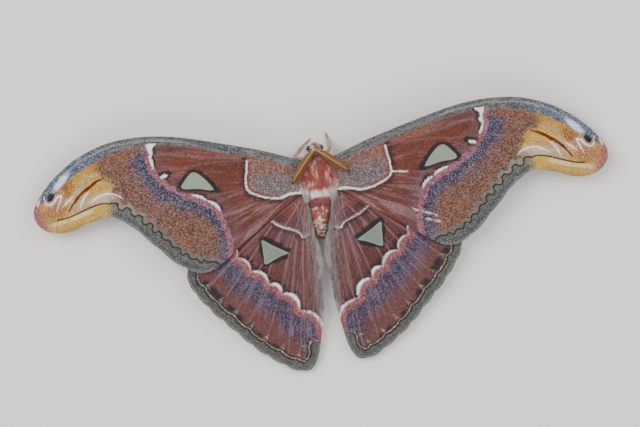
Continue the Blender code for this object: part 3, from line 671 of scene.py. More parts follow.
def scale_grain_group():
    """Single scales: small cells of random worth, of which a share is pale and a share is dark."""
    inputs = {"Color": ("Ground", "Pale", "Dark"), "Float": ("Pale share", "Dark share", "Cells per metre")}
    group, given, result = new_group("scale_grain", inputs, {"Color": ("Colour",), "Float": ("Height",)})
    cells = texture(group, "Voronoi", given["Cells per metre"])
    worth = group.nodes.new("ShaderNodeSeparateColor")
    plug(group, cells.outputs["Color"], worth.inputs[0])
    pale = number(group, "LESS_THAN", worth.outputs[0], given["Pale share"])
    dark = number(group, "LESS_THAN", worth.outputs[1], given["Dark share"])
    colour = mixed(group, number(group, "MULTIPLY", dark, 0.9), given["Ground"], given["Dark"])
    colour = mixed(group, number(group, "MULTIPLY", pale, 0.9), colour, given["Pale"])
    toned = group.nodes.new("ShaderNodeHueSaturation")
    plug(group, colour, toned.inputs["Color"])
    spread = number(group, "MULTIPLY", worth.outputs[2], 0.44)
    plug(group, number(group, "ADD", spread, 0.78), toned.inputs["Value"])
    plug(group, toned.outputs[0], result["Colour"])
    plug(group, number(group, "SUBTRACT", 1.0, cells.outputs["Distance"]), result["Height"])


def inked_line_group():
    """A line of other scales with a ragged edge. The mask is 1 where the distance beyond the line's
    edge, in millimetres, is below zero by more than a fine noise, and the colour changes with it."""
    inputs = {"Color": ("Ground", "Ink"), "Float": ("Beyond", "Ragged", "Strength")}
    group, given, result = new_group("inked_line", inputs, {"Color": ("Colour",), "Float": ("Mask",)})
    noise = texture(group, "Noise", INK_GRAIN)
    noise.inputs["Detail"].default_value = 1.0
    shift = number(group, "MULTIPLY", number(group, "SUBTRACT", noise.outputs[0], 0.5), given["Ragged"])
    edge = group.nodes.new("ShaderNodeMapRange")
    edge.interpolation_type = "SMOOTHSTEP"
    beyond = number(group, "ADD", given["Beyond"], shift)
    for socket, value in zip(edge.inputs, (beyond, -0.2, 0.2, 1.0, 0.0)):
        plug(group, value, socket)
    mask = number(group, "MULTIPLY", edge.outputs[0], given["Strength"])
    plug(group, mixed(group, mask, given["Ground"], given["Ink"]), result["Colour"])
    plug(group, mask, result["Mask"])


def inked(tree, colour, ink, beyond, ragged, strength=1.0):
    """Adds a line to a colour in a material. Gives the new colour and the line's mask."""
    node = tree.nodes.new("ShaderNodeGroup")
    node.node_tree = bpy.data.node_groups["inked_line"]
    plug(tree, colour, node.inputs["Ground"])
    plug(tree, beyond, node.inputs["Beyond"])
    node.inputs["Ink"].default_value = (*ink, 1)
    node.inputs["Ragged"].default_value = ragged
    node.inputs["Strength"].default_value = strength
    return node.outputs["Colour"], node.outputs["Mask"]


def wing_material(name, cells, pane_colour, margin_lines):
    """Matt scales with inked lines, and glossy, partly clear membrane in the windows. Each margin line
    has its place, in millimetres inwards from the stored one, its half width and its strength."""
    made, tree, shader = new_material(name, 0.75)
    grain = tree.nodes.new("ShaderNodeGroup")
    grain.node_tree = bpy.data.node_groups["scale_grain"]
    grain.inputs["Cells per metre"].default_value = cells
    for socket, layer, output in (
        ("Ground", "ground", "Color"), ("Pale", "pale_scales", "Color"), ("Dark", "dark_scales", "Color"),
        ("Pale share", "pale_share", "Fac"), ("Dark share", "dark_share", "Fac"),
    ):
        plug(tree, attribute(tree, layer, output), grain.inputs[socket])
    colour = grain.outputs["Colour"]
    colour, _ = inked(tree, colour, BLACK, attribute(tree, "dark_beyond", "Fac"), 2.1, 0.88)
    colour, _ = inked(tree, colour, WHITE, attribute(tree, "pale_beyond", "Fac"), 2.0, 0.88)
    margin = attribute(tree, "margin_offset", "Fac")
    for place, half, strength in margin_lines:
        away = number(tree, "ABSOLUTE", number(tree, "SUBTRACT", margin, place))
        colour, _ = inked(tree, colour, BLACK, number(tree, "SUBTRACT", away, half), 0.25, strength)
    pane = attribute(tree, "pane_beyond", "Fac")
    # the windows' pale colours are partly the membrane's own tint and partly painted reflection
    colour, window = inked(tree, colour, PANE_RIM, pane, 0.15)
    colour, _ = inked(tree, colour, pane_colour, number(tree, "ADD", pane, 0.45), 0.5, 0.8)
    plug(tree, colour, shader.inputs["Base Color"])
    for socket, full, drop in (("Roughness", 0.75, 0.4), ("Alpha", 1.0, 0.2)):
        lessened = number(tree, "SUBTRACT", full, number(tree, "MULTIPLY", window, drop))
        plug(tree, lessened, shader.inputs[socket])
    scaled = number(tree, "MULTIPLY", grain.outputs["Height"], number(tree, "SUBTRACT", 1.0, window))
    bumped(tree, scaled, SCALE_BUMP, shader)
    return made


def painted_material(name, roughness, sheen):
    """A soft surface in the colour stored at each point."""
    made, tree, shader = new_material(name, roughness, sheen)
    plug(tree, attribute(tree, "coat_colour"), shader.inputs["Base Color"])
    return made


def coat_material():
    """The one material that all tufts share."""
    return bpy.data.materials.get("coat") or painted_material("coat", 0.65, 0.35)


def eye_material():
    """A dark eye with fine facets under a gloss."""
    made, tree, shader = new_material("compound_eye", 0.3)
    shader.inputs["Base Color"].default_value = (*shade(38, 26, 22), 1)
    shader.inputs["Coat Weight"].default_value = 0.4
    facets = texture(tree, "Voronoi", EYE_FACETS)
    bumped(tree, facets.outputs["Distance"], FACET_BUMP, shader).invert = True
    return made


def floor_material(colour):
    """A matt floor of one colour."""
    made, _, shader = new_material("pale_floor", 0.85)
    shader.inputs["Base Color"].default_value = (*colour, 1)
    return made


# Wing shapes


def scalloped(margin, lobes, depth):
    """The outer margin in shallow lobes: moved out by depth times the size of a sine, less a half."""
    share = run_of(margin) / run_of(margin)[-1]
    along = unit(np.gradient(margin, axis=0))
    out = np.stack([-along[:, 1], along[:, 0]], axis=1)
    push = depth * (np.abs(np.sin(math.pi * lobes * share)) - 0.5)
    push *= smooth_step(share * 5) * smooth_step((1 - share) * 12)
    return margin + out * push[:, None]


def finer_outwards(count):
    """Shares from 0 to 1 whose steps shrink evenly, to 3/7 of the first."""
    share = np.linspace(0, 1, count)
    return 1.4 * share - 0.4 * share**2


def forewing_plan(rows, columns):
    """Grid of points between the front edge and the hind and outer edges: each row runs straight from
    one to the other, from the same share of their lengths."""
    front = curve_through(FORE_FRONT + FORE_OUTER[:1], 12)
    front[:, 1] -= FRONT_INSET * np.sin(math.pi * run_of(front) / run_of(front)[-1])
    whole = curve_through(FORE_OUTER + FORE_INNER, 12)
    outer = scalloped(whole[: len(FORE_OUTER) * 12], FORE_SCALLOPS, FORE_SCALLOP_DEPTH)
    rear = np.vstack([outer, whole[len(FORE_OUTER) * 12 :]])[::-1]
    s = np.linspace(0, 1, rows)
    t = finer_outwards(columns)[None, :, None]
    top, bottom = placed_on(front, s)[:, None], placed_on(rear, s)[:, None]
    return top + (bottom - top) * t


def hindwing_plan(rows, columns):
    """Grid of points spanned between four edges: root, outer margin, front edge and inner margin. Each
    point is the sum of the two straight spans between facing edges, less the span of the corners."""
    u = np.linspace(0, 1, rows)[:, None, None]
    v = finer_outwards(columns)[None, :, None]
    front = placed_on(curve_through(HIND_FRONT), v[0, :, 0])[None]
    inner = placed_on(curve_through(HIND_INNER), v[0, :, 0])[None]
    outer = scalloped(curve_through(HIND_OUTER, 24), HIND_SCALLOPS, HIND_SCALLOP_DEPTH)
    margin = placed_on(outer, u[:, 0, 0])[:, None]
    root = front[:, :1] + (inner[:, :1] - front[:, :1]) * u
    spans = front * (1 - u) + inner * u + root * (1 - v) + margin * v
    near = front[:, :1] * (1 - u) + inner[:, :1] * u
    far = front[:, -1:] * (1 - u) + inner[:, -1:] * u
    return spans - near * (1 - v) - far * v


def vein_relief(points, veins):
    """Height of the membrane at each point: a bell over every vein, and a shallow sag between them.
    Also gives the distance to the nearest vein."""
    away = np.min([np.abs(beside(points, vein, 5)[0]) for vein in veins], axis=0)
    return VEIN_RISE * bell(away, 0.36) - PLEAT * smooth_step(away / 3), away


def wing_piece(name, sign, plan, relief, slip, reach, lift, material):
    """A thin closed shell: the grid raised and lowered by half the membrane's thickness, which thins
    to the rim over the last rows, and joined along its edge."""
    rows, columns = plan.shape[:2]
    x, y = slipped(plan, slip, reach).reshape(-1, 2).T
    height = dome(x, y) + lift + relief
    from_ends = [np.minimum(np.arange(count), np.arange(count)[::-1]) for count in (rows, columns)]
    edge = np.minimum(from_ends[0][:, None], from_ends[1]).ravel()
    half = (RIM + (MEMBRANE - RIM) * smooth_step(edge / 4)) / 2
    verts = np.vstack([np.column_stack([x * sign, y, height + offset]) for offset in (half, -half)])
    count = rows * columns
    rim = np.concatenate(
        [
            np.arange(columns - 1),
            np.arange(rows - 1) * columns + columns - 1,
            (rows - 1) * columns + np.arange(columns - 1, 0, -1),
            np.arange(rows - 1, 0, -1) * columns,
        ]
    )
    after = np.roll(rim, -1)
    wall = np.stack([rim, after, after + count, rim + count], axis=1)
    top, under = grid_faces(rows, columns), grid_faces(rows, columns, first=count)[:, ::-1]
    return outward(mesh_object(name, verts, [top, under, wall], material))


def wing_pair(kind, plan, veins, slips, reach, lift, material, pattern):
    """Both wings of a kind: their shape, the pattern on it and the nodes that they stand for."""
    points = plan.reshape(-1, 2)
    relief, away = vein_relief(points, veins)
    for side, sign in SIDES:
        piece = wing_piece(f"{kind}_{side}_scaled", sign, plan, relief, slips[side], reach, lift, material)
        pattern(points, away, sign).store(piece)
        finish_piece(piece, "wing", f"{kind}_{side}")


# Wing colours


FAR = 9.0


class Scales:
    """Colours of the scales at each point: the ground, and pale and dark ones strewn among it. Lines
    that the material draws are kept as distances beyond their edges."""

    def __init__(self, points, ground, pale, dark):
        count = len(points)
        self.ground, self.pale, self.dark = (np.tile(tone, (count, 1)) for tone in (ground, pale, dark))
        self.pale_share, self.dark_share = np.full((2, count), 0.12)
        self.dark_beyond, self.pale_beyond, self.pane_beyond, self.margin_offset = np.full((4, count), FAR)

    def lay(self, mask, ground, pale=None, dark=None, pale_share=None, dark_share=None):
        """Covers what is there by the mask's strength, and leaves what isn't given."""
        mask = np.clip(mask, 0, 1)
        for own, tone in ((self.ground, ground), (self.pale, pale), (self.dark, dark)):
            if tone is not None:
                own += (tone - own) * mask[:, None]
        for own, share in ((self.pale_share, pale_share), (self.dark_share, dark_share)):
            if share is not None:
                own += (share - own) * mask

    def plain(self, mask, ground):
        """Covers what is there with scales of one colour."""
        self.lay(mask, ground, pale_share=0.0, dark_share=0.0)

    def dark_line(self, beyond):
        self.dark_beyond = np.minimum(self.dark_beyond, beyond)

    def pale_line(self, beyond):
        self.pale_beyond = np.minimum(self.pale_beyond, beyond)

    def pane(self, beyond):
        self.pane_beyond = np.minimum(self.pane_beyond, beyond)

    def store(self, piece):
        """Puts the colours on both faces of a wing, duller and paler below."""
        for name, own in (("ground", self.ground), ("pale_scales", self.pale), ("dark_scales", self.dark)):
            paint(piece, name, np.vstack([own, own * 0.65 + UNDERSIDE * 0.35]))
        for name in (
            "pale_share", "dark_share", "dark_beyond", "pale_beyond", "pane_beyond", "margin_offset"
        ):
            store(piece, name, np.tile(getattr(self, name), 2))


RED = shade(134, 72, 56)
BRIGHT_RED = shade(160, 82, 54)
DARK_RED = shade(98, 52, 46)
ROSE = shade(160, 92, 84)
ROSE_BAND = shade(151, 82, 89)
WHITE = shade(238, 234, 230)
BLACK = shade(34, 36, 48)
LILAC = shade(148, 142, 172)
PURPLE = shade(70, 70, 94)
SLATE = shade(56, 56, 70)
SILVER = shade(170, 138, 142)
TAN = shade(176, 132, 108)
FIELD = shade(116, 79, 70)
FIELD_DARK = shade(70, 54, 60)
GREY = shade(98, 100, 104)
GREY_PALE = shade(150, 150, 150)
GREY_DARK = shade(68, 72, 78)
OLIVE = shade(100, 102, 98)
KHAKI = shade(148, 141, 126)
YELLOW = shade(206, 160, 64)
OCHRE = shade(200, 140, 50)
CREAM = shade(232, 216, 172)
PINK = shade(174, 98, 104)
# pale tints of the clear window membrane and its rim, partly painted reflection
PANE_RIM = shade(162, 170, 146)
WINDOW_FORE = shade(158, 170, 154)
WINDOW_HIND = shade(138, 152, 144)
FEELER_BROWN = shade(160, 104, 36)
# brown of the feelers' inner rows of rays, darkened as painted shade
FEELER_PAINTED_SHADE = shade(134, 80, 24)
UNDERSIDE = shade(150, 118, 100)
LEG_BARE = shade(176, 142, 112)
LEG_FURRED = shade(212, 178, 150)


def streaks(points, seed, across=0.055, along=14.0):
    """Random values drawn out along the lines that lead from the wing's root."""
    rel = points - np.array(WING_ROOT)
    fan = np.column_stack(
        [np.arctan2(rel[:, 1], rel[:, 0]) / across, np.hypot(rel[:, 0], rel[:, 1]) / along]
    )
    return clouds(fan, 1.0, seed, 2)


def triangle_wave(value):
    """Rises and falls evenly between -1 and 1 as the value grows by one."""
    return 4 * np.abs(value - np.floor(value + 0.5)) - 1


def forewing_scales(points, away, sign):
    """The forewing's pattern, laid from the ground up. The right one also has a pale streak beyond the
    basal line and two pale strokes across the purple band."""
    seed = FOREWING_SEED + sign
    streaked = sign > 0
    x, y = points[:, 0], points[:, 1]
    rough = clouds(points, 1.6, seed)
    broad = clouds(points, 9.0, seed + 1)
    drawn = streaks(points, seed + 2)
    fine = streaks(points, seed + 3, 0.014, 9.0)
    wing = Scales(points, RED, ROSE, DARK_RED)
    wing.lay(between(y, 9.5, 17.5, 4) * between(x, 30, 62, 6), BRIGHT_RED)
    wing.lay(0.5 * smooth_step(0.5 + broad), DARK_RED * 1.25)
    low = smooth_step((-y - 4 + 0.1 * x) / 8) * rise(x, 8, 6) * fall(x, 46, 8)
    wing.lay(0.6 * low * smooth_step((drawn - 0.05) * 2.6), SILVER)
    wing.lay(0.5 * low * smooth_step((-drawn - 0.2) * 2.6), shade(104, 66, 66))
    wing.lay(0.45 * smooth_step((fine - 0.45) * 2.5), shade(166, 130, 130))
    mark, _ = beside(points, FORE_CELL_VEIN, 5)
    wing.lay(0.7 * bell(mark + 0.2 * rough, 0.5), shade(146, 124, 124))
    wing.lay(0.5 * between(-mark, 0.3, 4.5, 1.5) * between(x, 28, 60, 4), shade(96, 56, 50))

    middle, u = beside(points, FORE_MIDDLE_LINE)
    basal, _ = beside(points, FORE_BASAL_LINE)

    # outer half of the wing
    outside = middle + 0.35 * rough
    field = smooth_step(outside / 1.2)
    wing.lay(field, FIELD, TAN, FIELD_DARK, 0.33, 0.3)
    greyed = smooth_step((15 + broad * 4 - outside) / 10) * rise(y, -12, 12)
    wing.lay(field * greyed * 0.6, shade(106, 84, 96), shade(168, 140, 146), shade(74, 62, 74))
    warm = rise(y, 12, 6) * between(x, 68, 86, 8)
    wing.lay(field * warm * 0.6, shade(156, 82, 46))
    wing.lay(field * 0.65 * smooth_step(broad * 1.5), shade(142, 83, 54))
    purple_reach = 5.8 + 2.4 * rise(y, 6, 8) + 1.6 * broad + 0.9 * rough
    purple = between(outside, 1.2, purple_reach, 4.4) * rise(u, 0.02, 0.06)
    wing.lay(0.93 * purple, PURPLE, LILAC, SLATE, 0.2, 0.36)
    wing.lay(purple * rise(-y, 16, 8) * 0.5, shade(138, 104, 110))
    wing.lay(
        0.8 * between(outside, 1.9, 4.2, 1.8) * smooth_step(0.7 * rough + 0.6) * rise(u, -0.02, 0.1), SLATE
    )
    wing.lay(between(outside, -0.1, 2.1, 0.5), ROSE_BAND, shade(190, 146, 164), DARK_RED, 0.28, 0.08)
    wing.lay(0.55 * between(outside, 1.7, 2.3, 0.5) * smooth_step(drawn), LILAC)

    # white and black along the middle line
    costal = y - np.interp(x, COSTAL_X, COSTAL_Y)
    wing.lay(0.55 * between(costal + 0.4 * rough, -2.4, 0.4, 2) * between(x, 46, 63, 10), shade(82, 74, 80))
    fork = fall(u, 0.2, 0.05) * smooth_step((1.3 + 0.4 * rough - costal) / 0.6)
    lobe_shape = np.abs(np.sin(math.pi * (u - 0.47) / 0.115)) ** 0.6
    width = fork * (0.5 + 0.7 * fall(u, 0.17, 0.12) + 2.4 * fall(u, 0.055, 0.05) + 0.4 * rough)
    width += between(u, 0.47, 0.7, 0.04) * 0.95 * lobe_shape
    half = width / 2
    wing.pale_line(np.abs(middle + half) - half + 0.3 * fall(width, 0.4, 0.4) + 0.02)
    shadow = np.maximum(fork, between(u, 0.44, 0.8, 0.06)) * smooth_step(width * 2)
    wing.lay(0.35 * between(-middle, 0, 5, 3), shade(112, 100, 112))
    soft = smooth_step((middle + width + 2.2 + 0.5 * rough) / 1.8) * smooth_step(-middle / 0.5) * shadow
    wing.lay(0.75 * soft, shade(60, 44, 50))
    half = (width + (0.8 + 0.4 * rough) * shadow) / 2
    wing.dark_line(np.abs(middle + half) - half + FAR * (1 - shadow))
    for line in FORE_CROSS_STROKES * streaked:
        mark, _ = beside(points, line, 5)
        wing.plain(0.8 * smooth_step((0.6 + 0.3 * rough - np.abs(mark)) / 0.5), shade(206, 196, 204))

    # root patch inside the basal line
    patch = rise(basal, 0.6, 0.8) * fall(x, 27.5, 1.5)
    wing.lay(patch, shade(142, 92, 78), shade(176, 140, 128), shade(86, 70, 72), 0.3, 0.26)
    wing.lay(
        patch * smooth_step((4 - y + 0.12 * x + 1.4 * rough) / 4.5), shade(124, 104, 106),
        shade(166, 154, 152), GREY_DARK, 0.3, 0.3,
    )
    wing.lay(0.8 * between(basal + 0.3 * rough, -2.2, -0.2, 1.2), shade(76, 48, 48))
    wing.dark_line(np.abs(basal + 0.75) - 0.22)
    wing.lay(0.8 * between(basal, 0.4, 1.7, 0.7) * rise(x, 18, 4), shade(150, 74, 62))
    wing.pale_line(np.abs(basal + 0.12 * rough) - 0.26 - 0.14 * fall(x, 18, 8))
    if streaked:
        mark, _ = beside(points, FORE_BASAL_STREAK, 5)
        wing.pale_line(np.abs(mark) - 0.22)

    # window and the small blob beside it
    wing.dark_line(-depth_in(points, FORE_WINDOW_DARK) - 0.2 * rough)
    wing.dark_line(-depth_in(points, FORE_BLOB) - 0.2 * rough)
    wing.pane(-depth_in(points, FORE_WINDOW))
    wing.pale_line(-depth_in(points, FORE_SLIT) - 0.1)

    forewing_tip(wing, points, rough, broad)
    forewing_margin(wing, points, rough)

    # grey band along the front edge, in long fine streaks
    front, front_along = beside(points, FORE_FRONT)
    grey = smooth_step((costal + 0.3 * rough) / 0.9) * fall(x, 108.5, 3)
    wing.lay(grey, GREY, GREY_PALE, GREY_DARK, 0.24, 0.24)
    grain = clouds(np.column_stack([front_along * 26, front / 0.5]), 1.0, seed + 4)
    wing.lay(0.7 * grey * smooth_step(grain * 1.6 - 0.1), shade(76, 80, 84))
    wing.lay(0.6 * grey * smooth_step(-grain * 1.6 - 0.1), shade(146, 144, 140))
    wing.lay(0.35 * grey * fall(x, 30, 20), shade(118, 106, 88))
    wing.lay(0.75 * grey * rise(x, 78, 10), shade(92, 104, 128), shade(158, 170, 194), SLATE, 0.3, 0.24)
    wing.lay(
        0.95 * ellipse(points, (98.4, 10.0), (6.0, 1.8), -44), shade(190, 204, 232), WHITE, LILAC, 0.3, 0.1
    )
    edge_line = between(np.abs(front) + 0.15 * rough, 1.6, 2.2, 0.4) * between(x, 48, 97, 6)
    wing.plain(0.6 * edge_line, shade(176, 176, 172))
    wing.lay(0.7 * fall(np.abs(front), 0.9, 0.7), shade(112, 104, 96))

    vein = 0.5 * bell(away, 0.26) * (1 - grey)
    wing.lay(vein, shade(160, 122, 118))
    return wing


def forewing_tip(wing, points, rough, broad):
    """The yellow tip with its red streak, white crescents, eyespot and pink end."""
    x = points[:, 0]
    yellow_side, _ = beside(points, YELLOW_EDGE)
    tip = smooth_step((yellow_side + 1.2 * rough + 0.6 * broad) / 3.0)
    wing.lay(tip, YELLOW, shade(222, 190, 108), shade(158, 108, 54), 0.16, 0.14)
    for middle, half, turn, strength, colour in (
        ((88.5, 14.0), (8.0, 4.4), -32, 0.9, OCHRE),
        ((96.6, 6.6), (6.4, 4.2), -45, 0.9, shade(168, 98, 48)),
        ((101.4, -0.2), (7.4, 5.8), -24, 0.9, shade(178, 108, 76)),
        ((90.5, 0.8), (8.5, 3.4), -24, 0.85, shade(190, 160, 134)),
        ((81.5, 7.4), (4.0, 4.6), 10, 0.5, shade(196, 156, 84)),
        ((90.0, 9.4), (6.5, 1.5), -38, 0.6, shade(176, 152, 136)),
        ((92.8, 4.8), (4.4, 1.3), -48, 0.6, shade(196, 168, 132)),
        ((82.5, 1.4), (7.4, 2.3), -4, 0.95, shade(194, 178, 148)),
    ):
        wing.lay(strength * ellipse(points, middle, half, turn), colour, pale_share=0.1, dark_share=0.08)
    end, _ = beside(points, [(104, 9), (105.6, 3), (104.6, -3), (101, -7.6)])
    pink = smooth_step((end + 0.4 * rough + 1.2) / 5)
    wing.lay(0.92 * pink, PINK, shade(206, 150, 148), shade(150, 82, 88), 0.12, 0.1)
    below, _ = beside(points, [(108, -7.4), (103, -6.6), (97, -5.4), (91, -3.8), (86, -2.2), (82, -1.6)])
    rim = rise(below, -0.6, 1.2) * rise(x, 83, 4) * fall(x, 107, 4)
    wing.lay(0.92 * rim, shade(196, 156, 76), shade(216, 186, 120), OCHRE, 0.1, 0.1)
    wing.lay(0.6 * rim * rise(below, 1.6, 1.4), shade(164, 126, 56))
    cream = between(below, -1.3, 0.3, 0.6) * rise(x, 85, 4) * fall(x, 106, 3)
    wing.plain(0.75 * cream, shade(214, 198, 144))
    line, along = beside(points, RED_STREAK)
    thick = 0.8 * np.sqrt(np.sin(math.pi * np.clip(along, 0.05, 0.93)))
    wing.plain(smooth_step((thick + 0.12 * rough - np.abs(line)) / 0.25), shade(122, 46, 32))
    eyespot = ellipse(points, (103.0, 4.5), (2.3, 1.5), -52)
    wing.plain(2 * eyespot, BLACK)
    wing.dark_line(0.5 - 1.6 * eyespot)
    wing.lay(0.8 * ellipse(points, (101.6, 6.2), (2.4, 1.7), -50), SLATE)
    for crescent in CRESCENTS:
        line, along = beside(points, crescent)
        wing.lay(0.5 * bell(line, 1.1) * np.sin(math.pi * np.clip(along, 0, 1)), shade(206, 176, 178))
        wing.pale_line(2.4 * (np.abs(line) - 0.06 - 0.2 * np.sin(math.pi * np.clip(along, 0, 1)) ** 0.8))


def forewing_margin(wing, points, rough):
    """The grey-olive border and the dark line in it, smooth at the tip and wavy behind it."""
    x = points[:, 0]
    margin, along = beside(points, FORE_OUTER + FORE_INNER[:1])
    inside = np.abs(margin)
    border = fall(x, 83, 6)
    sway = clouds(np.column_stack([along * 6, along * 0]), 1.0, WAVE_SEED, 1)
    turn = 2 * math.pi * FORE_WAVES * along + 1.2 * sway
    swell = border * (0.52 + 0.4 * smooth_step((points[:, 1] + 20) / 14) + 0.16 * np.sin(turn * 0.31))
    wave = np.tanh(1.5 * np.sin(turn)) / math.tanh(1.5)
    depth = 5.2 - 0.7 * border - 0.5 * rise(along, 0.85, 0.15) + wave * swell
    slope = 2.2 * swell * np.cos(turn) / np.cosh(1.5 * np.sin(turn)) ** 2
    wing.margin_offset = (inside - depth) / np.sqrt(1 + slope**2) + FAR * rise(x, 101, 2)
    reach = depth + 2.1 + 0.5 * rough
    wing.lay(0.85 * between(inside, 0, reach, 1.2) * border, shade(122, 117, 112), KHAKI, OLIVE, 0.2, 0.14)
    wing.lay(0.7 * between(inside, 0, reach, 1.2) * border * rise(x, 60, 14), shade(162, 153, 138))
    wing.lay(0.8 * fall(inside, depth, 0.3) * border, shade(100, 102, 102), KHAKI, GREY_DARK, 0.16, 0.14)
    wing.lay(
        0.8 * smooth_step((3.0 - inside + 0.3 * rough) / 0.8) * border, shade(88, 93, 94), GREY_PALE,
        GREY_DARK, 0.16, 0.18,
    )
    wing.lay(0.6 * between(inside, 1.2, 1.9, 0.5) * border, shade(84, 86, 84))
    wing.lay(0.8 * border * fall(inside, 1.0, 0.5), shade(132, 136, 136))


def scalloped_line(cusps, bulge):
    """A line through the cusps that bulges to its right between each two: a parabola as high as bulge
    times their distance."""
    ends = np.array(cusps, float)
    t = np.linspace(0, 1, 12, endpoint=False)[:, None]
    leg = (ends[1:] - ends[:-1])[:, None]
    out = np.stack([leg[..., 1], -leg[..., 0]], axis=-1)
    arcs = ends[:-1, None] + leg * t + out * (4 * bulge * t * (1 - t))
    return np.vstack([arcs.reshape(-1, 2), ends[-1:]])


def hindwing_scales(points, away, sign):
    """The hindwing's pattern, laid from the ground up."""
    seed = HINDWING_SEED + sign
    x, y = points[:, 0], points[:, 1]
    rough = clouds(points, 1.6, seed)
    broad = clouds(points, 9.0, seed + 1)
    drawn = streaks(points, seed + 2, 0.04)
    fine = streaks(points, seed + 3, 0.012, 8.0)
    wing = Scales(points, shade(111, 68, 62), ROSE, DARK_RED)
    wing.lay(0.5 * smooth_step(0.5 + broad), shade(95, 58, 57))
    wing.lay(0.75 * rise(y, -16, 8) * fall(x, 20, 8) * smooth_step(drawn * 2 + 0.6), shade(166, 80, 56))
    wing.lay(0.3 * smooth_step((drawn - 0.3) * 3), shade(154, 100, 96))
    wing.lay(0.32 * smooth_step((fine - 0.5) * 2.5), shade(156, 122, 122))

    # bands beyond the middle line
    middle, u = measure(points, scalloped_line(HIND_CUSPS, 0.2))
    outside = middle + 0.3 * rough
    wing.lay(smooth_step(outside), shade(119, 80, 79), ROSE, DARK_RED, 0.16, 0.14)
    purple = between(outside, 1.2, 9.4 + 1.4 * broad, 5.0)
    wing.lay(0.9 * purple, shade(75, 65, 86), shade(140, 124, 160), SLATE, 0.2, 0.18)
    wing.lay(0.35 * between(outside, 2, 11, 5) * smooth_step((drawn - 0.3) * 3), shade(128, 112, 132))
    wing.lay(0.45 * between(outside, 1, 12, 5) * smooth_step((fine - 0.5) * 3), shade(152, 138, 156))
    wing.lay(
        between(outside, -0.1, 2.5, 1.1), shade(156, 82, 81), shade(184, 138, 150), DARK_RED, 0.24, 0.08
    )
    legs = run_of(np.array(HIND_CUSPS, float))
    lobe = np.interp(u, legs / legs[-1], np.arange(len(HIND_CUSPS)))
    wide = np.sin(math.pi * (lobe - np.floor(lobe))) ** 1.3
    width = np.array(HIND_WHITE)[np.minimum(lobe.astype(int), len(HIND_WHITE) - 1)] * wide
    soft = smooth_step((middle + width + 2.6 + 0.4 * rough) / 1.9) * smooth_step(-middle / 0.5)
    wing.lay(0.95 * soft * smooth_step(lobe), shade(42, 38, 48))
    wing.pale_line(np.abs(middle + width / 2) - width / 2 + 0.25 * fall(width, 0.4, 0.4))
    wing.lay(0.7 * between(outside, -0.3, 0.5, 0.4), shade(200, 150, 150))

    # basal line and window
    basal, along = beside(points, HIND_BASAL_LINE)
    ends = FAR * (1 - between(along, 0.004, 0.996, 0.004))
    wing.lay(
        0.7 * between(basal + rough, -4.6, -0.3, 2.6) * between(along, 0.01, 0.66, 0.12), shade(78, 54, 60)
    )
    wing.lay(
        0.8 * between(basal + 0.3 * rough, 0.1, 2.0, 1.2) * between(along, 0.01, 0.99, 0.02),
        shade(64, 44, 48),
    )
    wing.dark_line(np.abs(basal - 0.75) - 0.3 + ends)
    wing.lay(0.7 * between(basal, -0.7, 0.6, 0.5) * between(along, 0.02, 0.98, 0.02), shade(176, 122, 122))
    wing.pale_line(np.abs(basal + 0.12 * rough) - 0.1 + ends)
    wing.dark_line(0.3 - depth_in(points, HIND_WINDOW_DARK) - 0.2 * rough)
    wing.pane(-depth_in(points, HIND_WINDOW))

    # grey and pink hair towards the inner edge
    inner = fall(x, 11, 5) * smooth_step(-y / 4) * rise(y, -56, 8)
    wing.lay(0.4 * inner * smooth_step((drawn + 0.1) * 2), shade(150, 120, 120))
    grey = smooth_step((5.2 - x + 0.5 * rough) / 2.2) * rise(y, -53, 5) * smooth_step(-y / 4)
    wing.lay(0.85 * grey, shade(122, 112, 110), GREY_PALE, shade(84, 70, 68), 0.22, 0.18)
    wing.lay((0.32 + 0.26 * rise(y, -44, 24)) * bell(away, 0.32), shade(168, 138, 142))
    haze = fall(x, 20, 8) * between(-y, 14, 46, 8) * smooth_step(fine * 1.5 + 0.4)
    wing.lay(0.22 * haze, shade(150, 132, 146))

    hindwing_margin(wing, points, rough)
    return wing


def hindwing_margin(wing, points, rough):
    """Dark spots, two black lines that dip in at each vein with ochre between, and the grey border."""
    margin, along = beside(points, HIND_OUTER + [(5.2, -63), (4.2, -58)])
    inside = np.abs(margin)
    cusp = 1 - np.abs(np.sin(math.pi * HIND_SCALLOPS * along * 1.07))
    fade = fall(along, 0.985, 0.03)
    depth = 3.1 + 0.75 * cusp**2 + 0.12 * rough
    for spot in HIND_SPOTS:
        wing.plain(0.95 * ellipse(points + 0.3 * rough[:, None], spot, (2.7, 2.1), 48), shade(48, 48, 62))
    wing.lay(
        0.85 * fade * smooth_step((depth + 1.55 + 2.4 * cusp**5 - inside) / 0.6), shade(146, 129, 108),
        CREAM, OLIVE, 0.06, 0.16,
    )
    wing.lay(fade * fall(inside, depth, 0.3), shade(98, 100, 99), KHAKI, GREY_DARK, 0.12, 0.14)
    wing.lay(0.4 * fade * between(inside, 1.2, 1.9, 0.5), shade(92, 92, 86))
    wing.lay(0.85 * fade * fall(inside, 1.1, 0.5), shade(128, 132, 130))
    wing.margin_offset = inside - depth + FAR * (1 - fade)


# Body


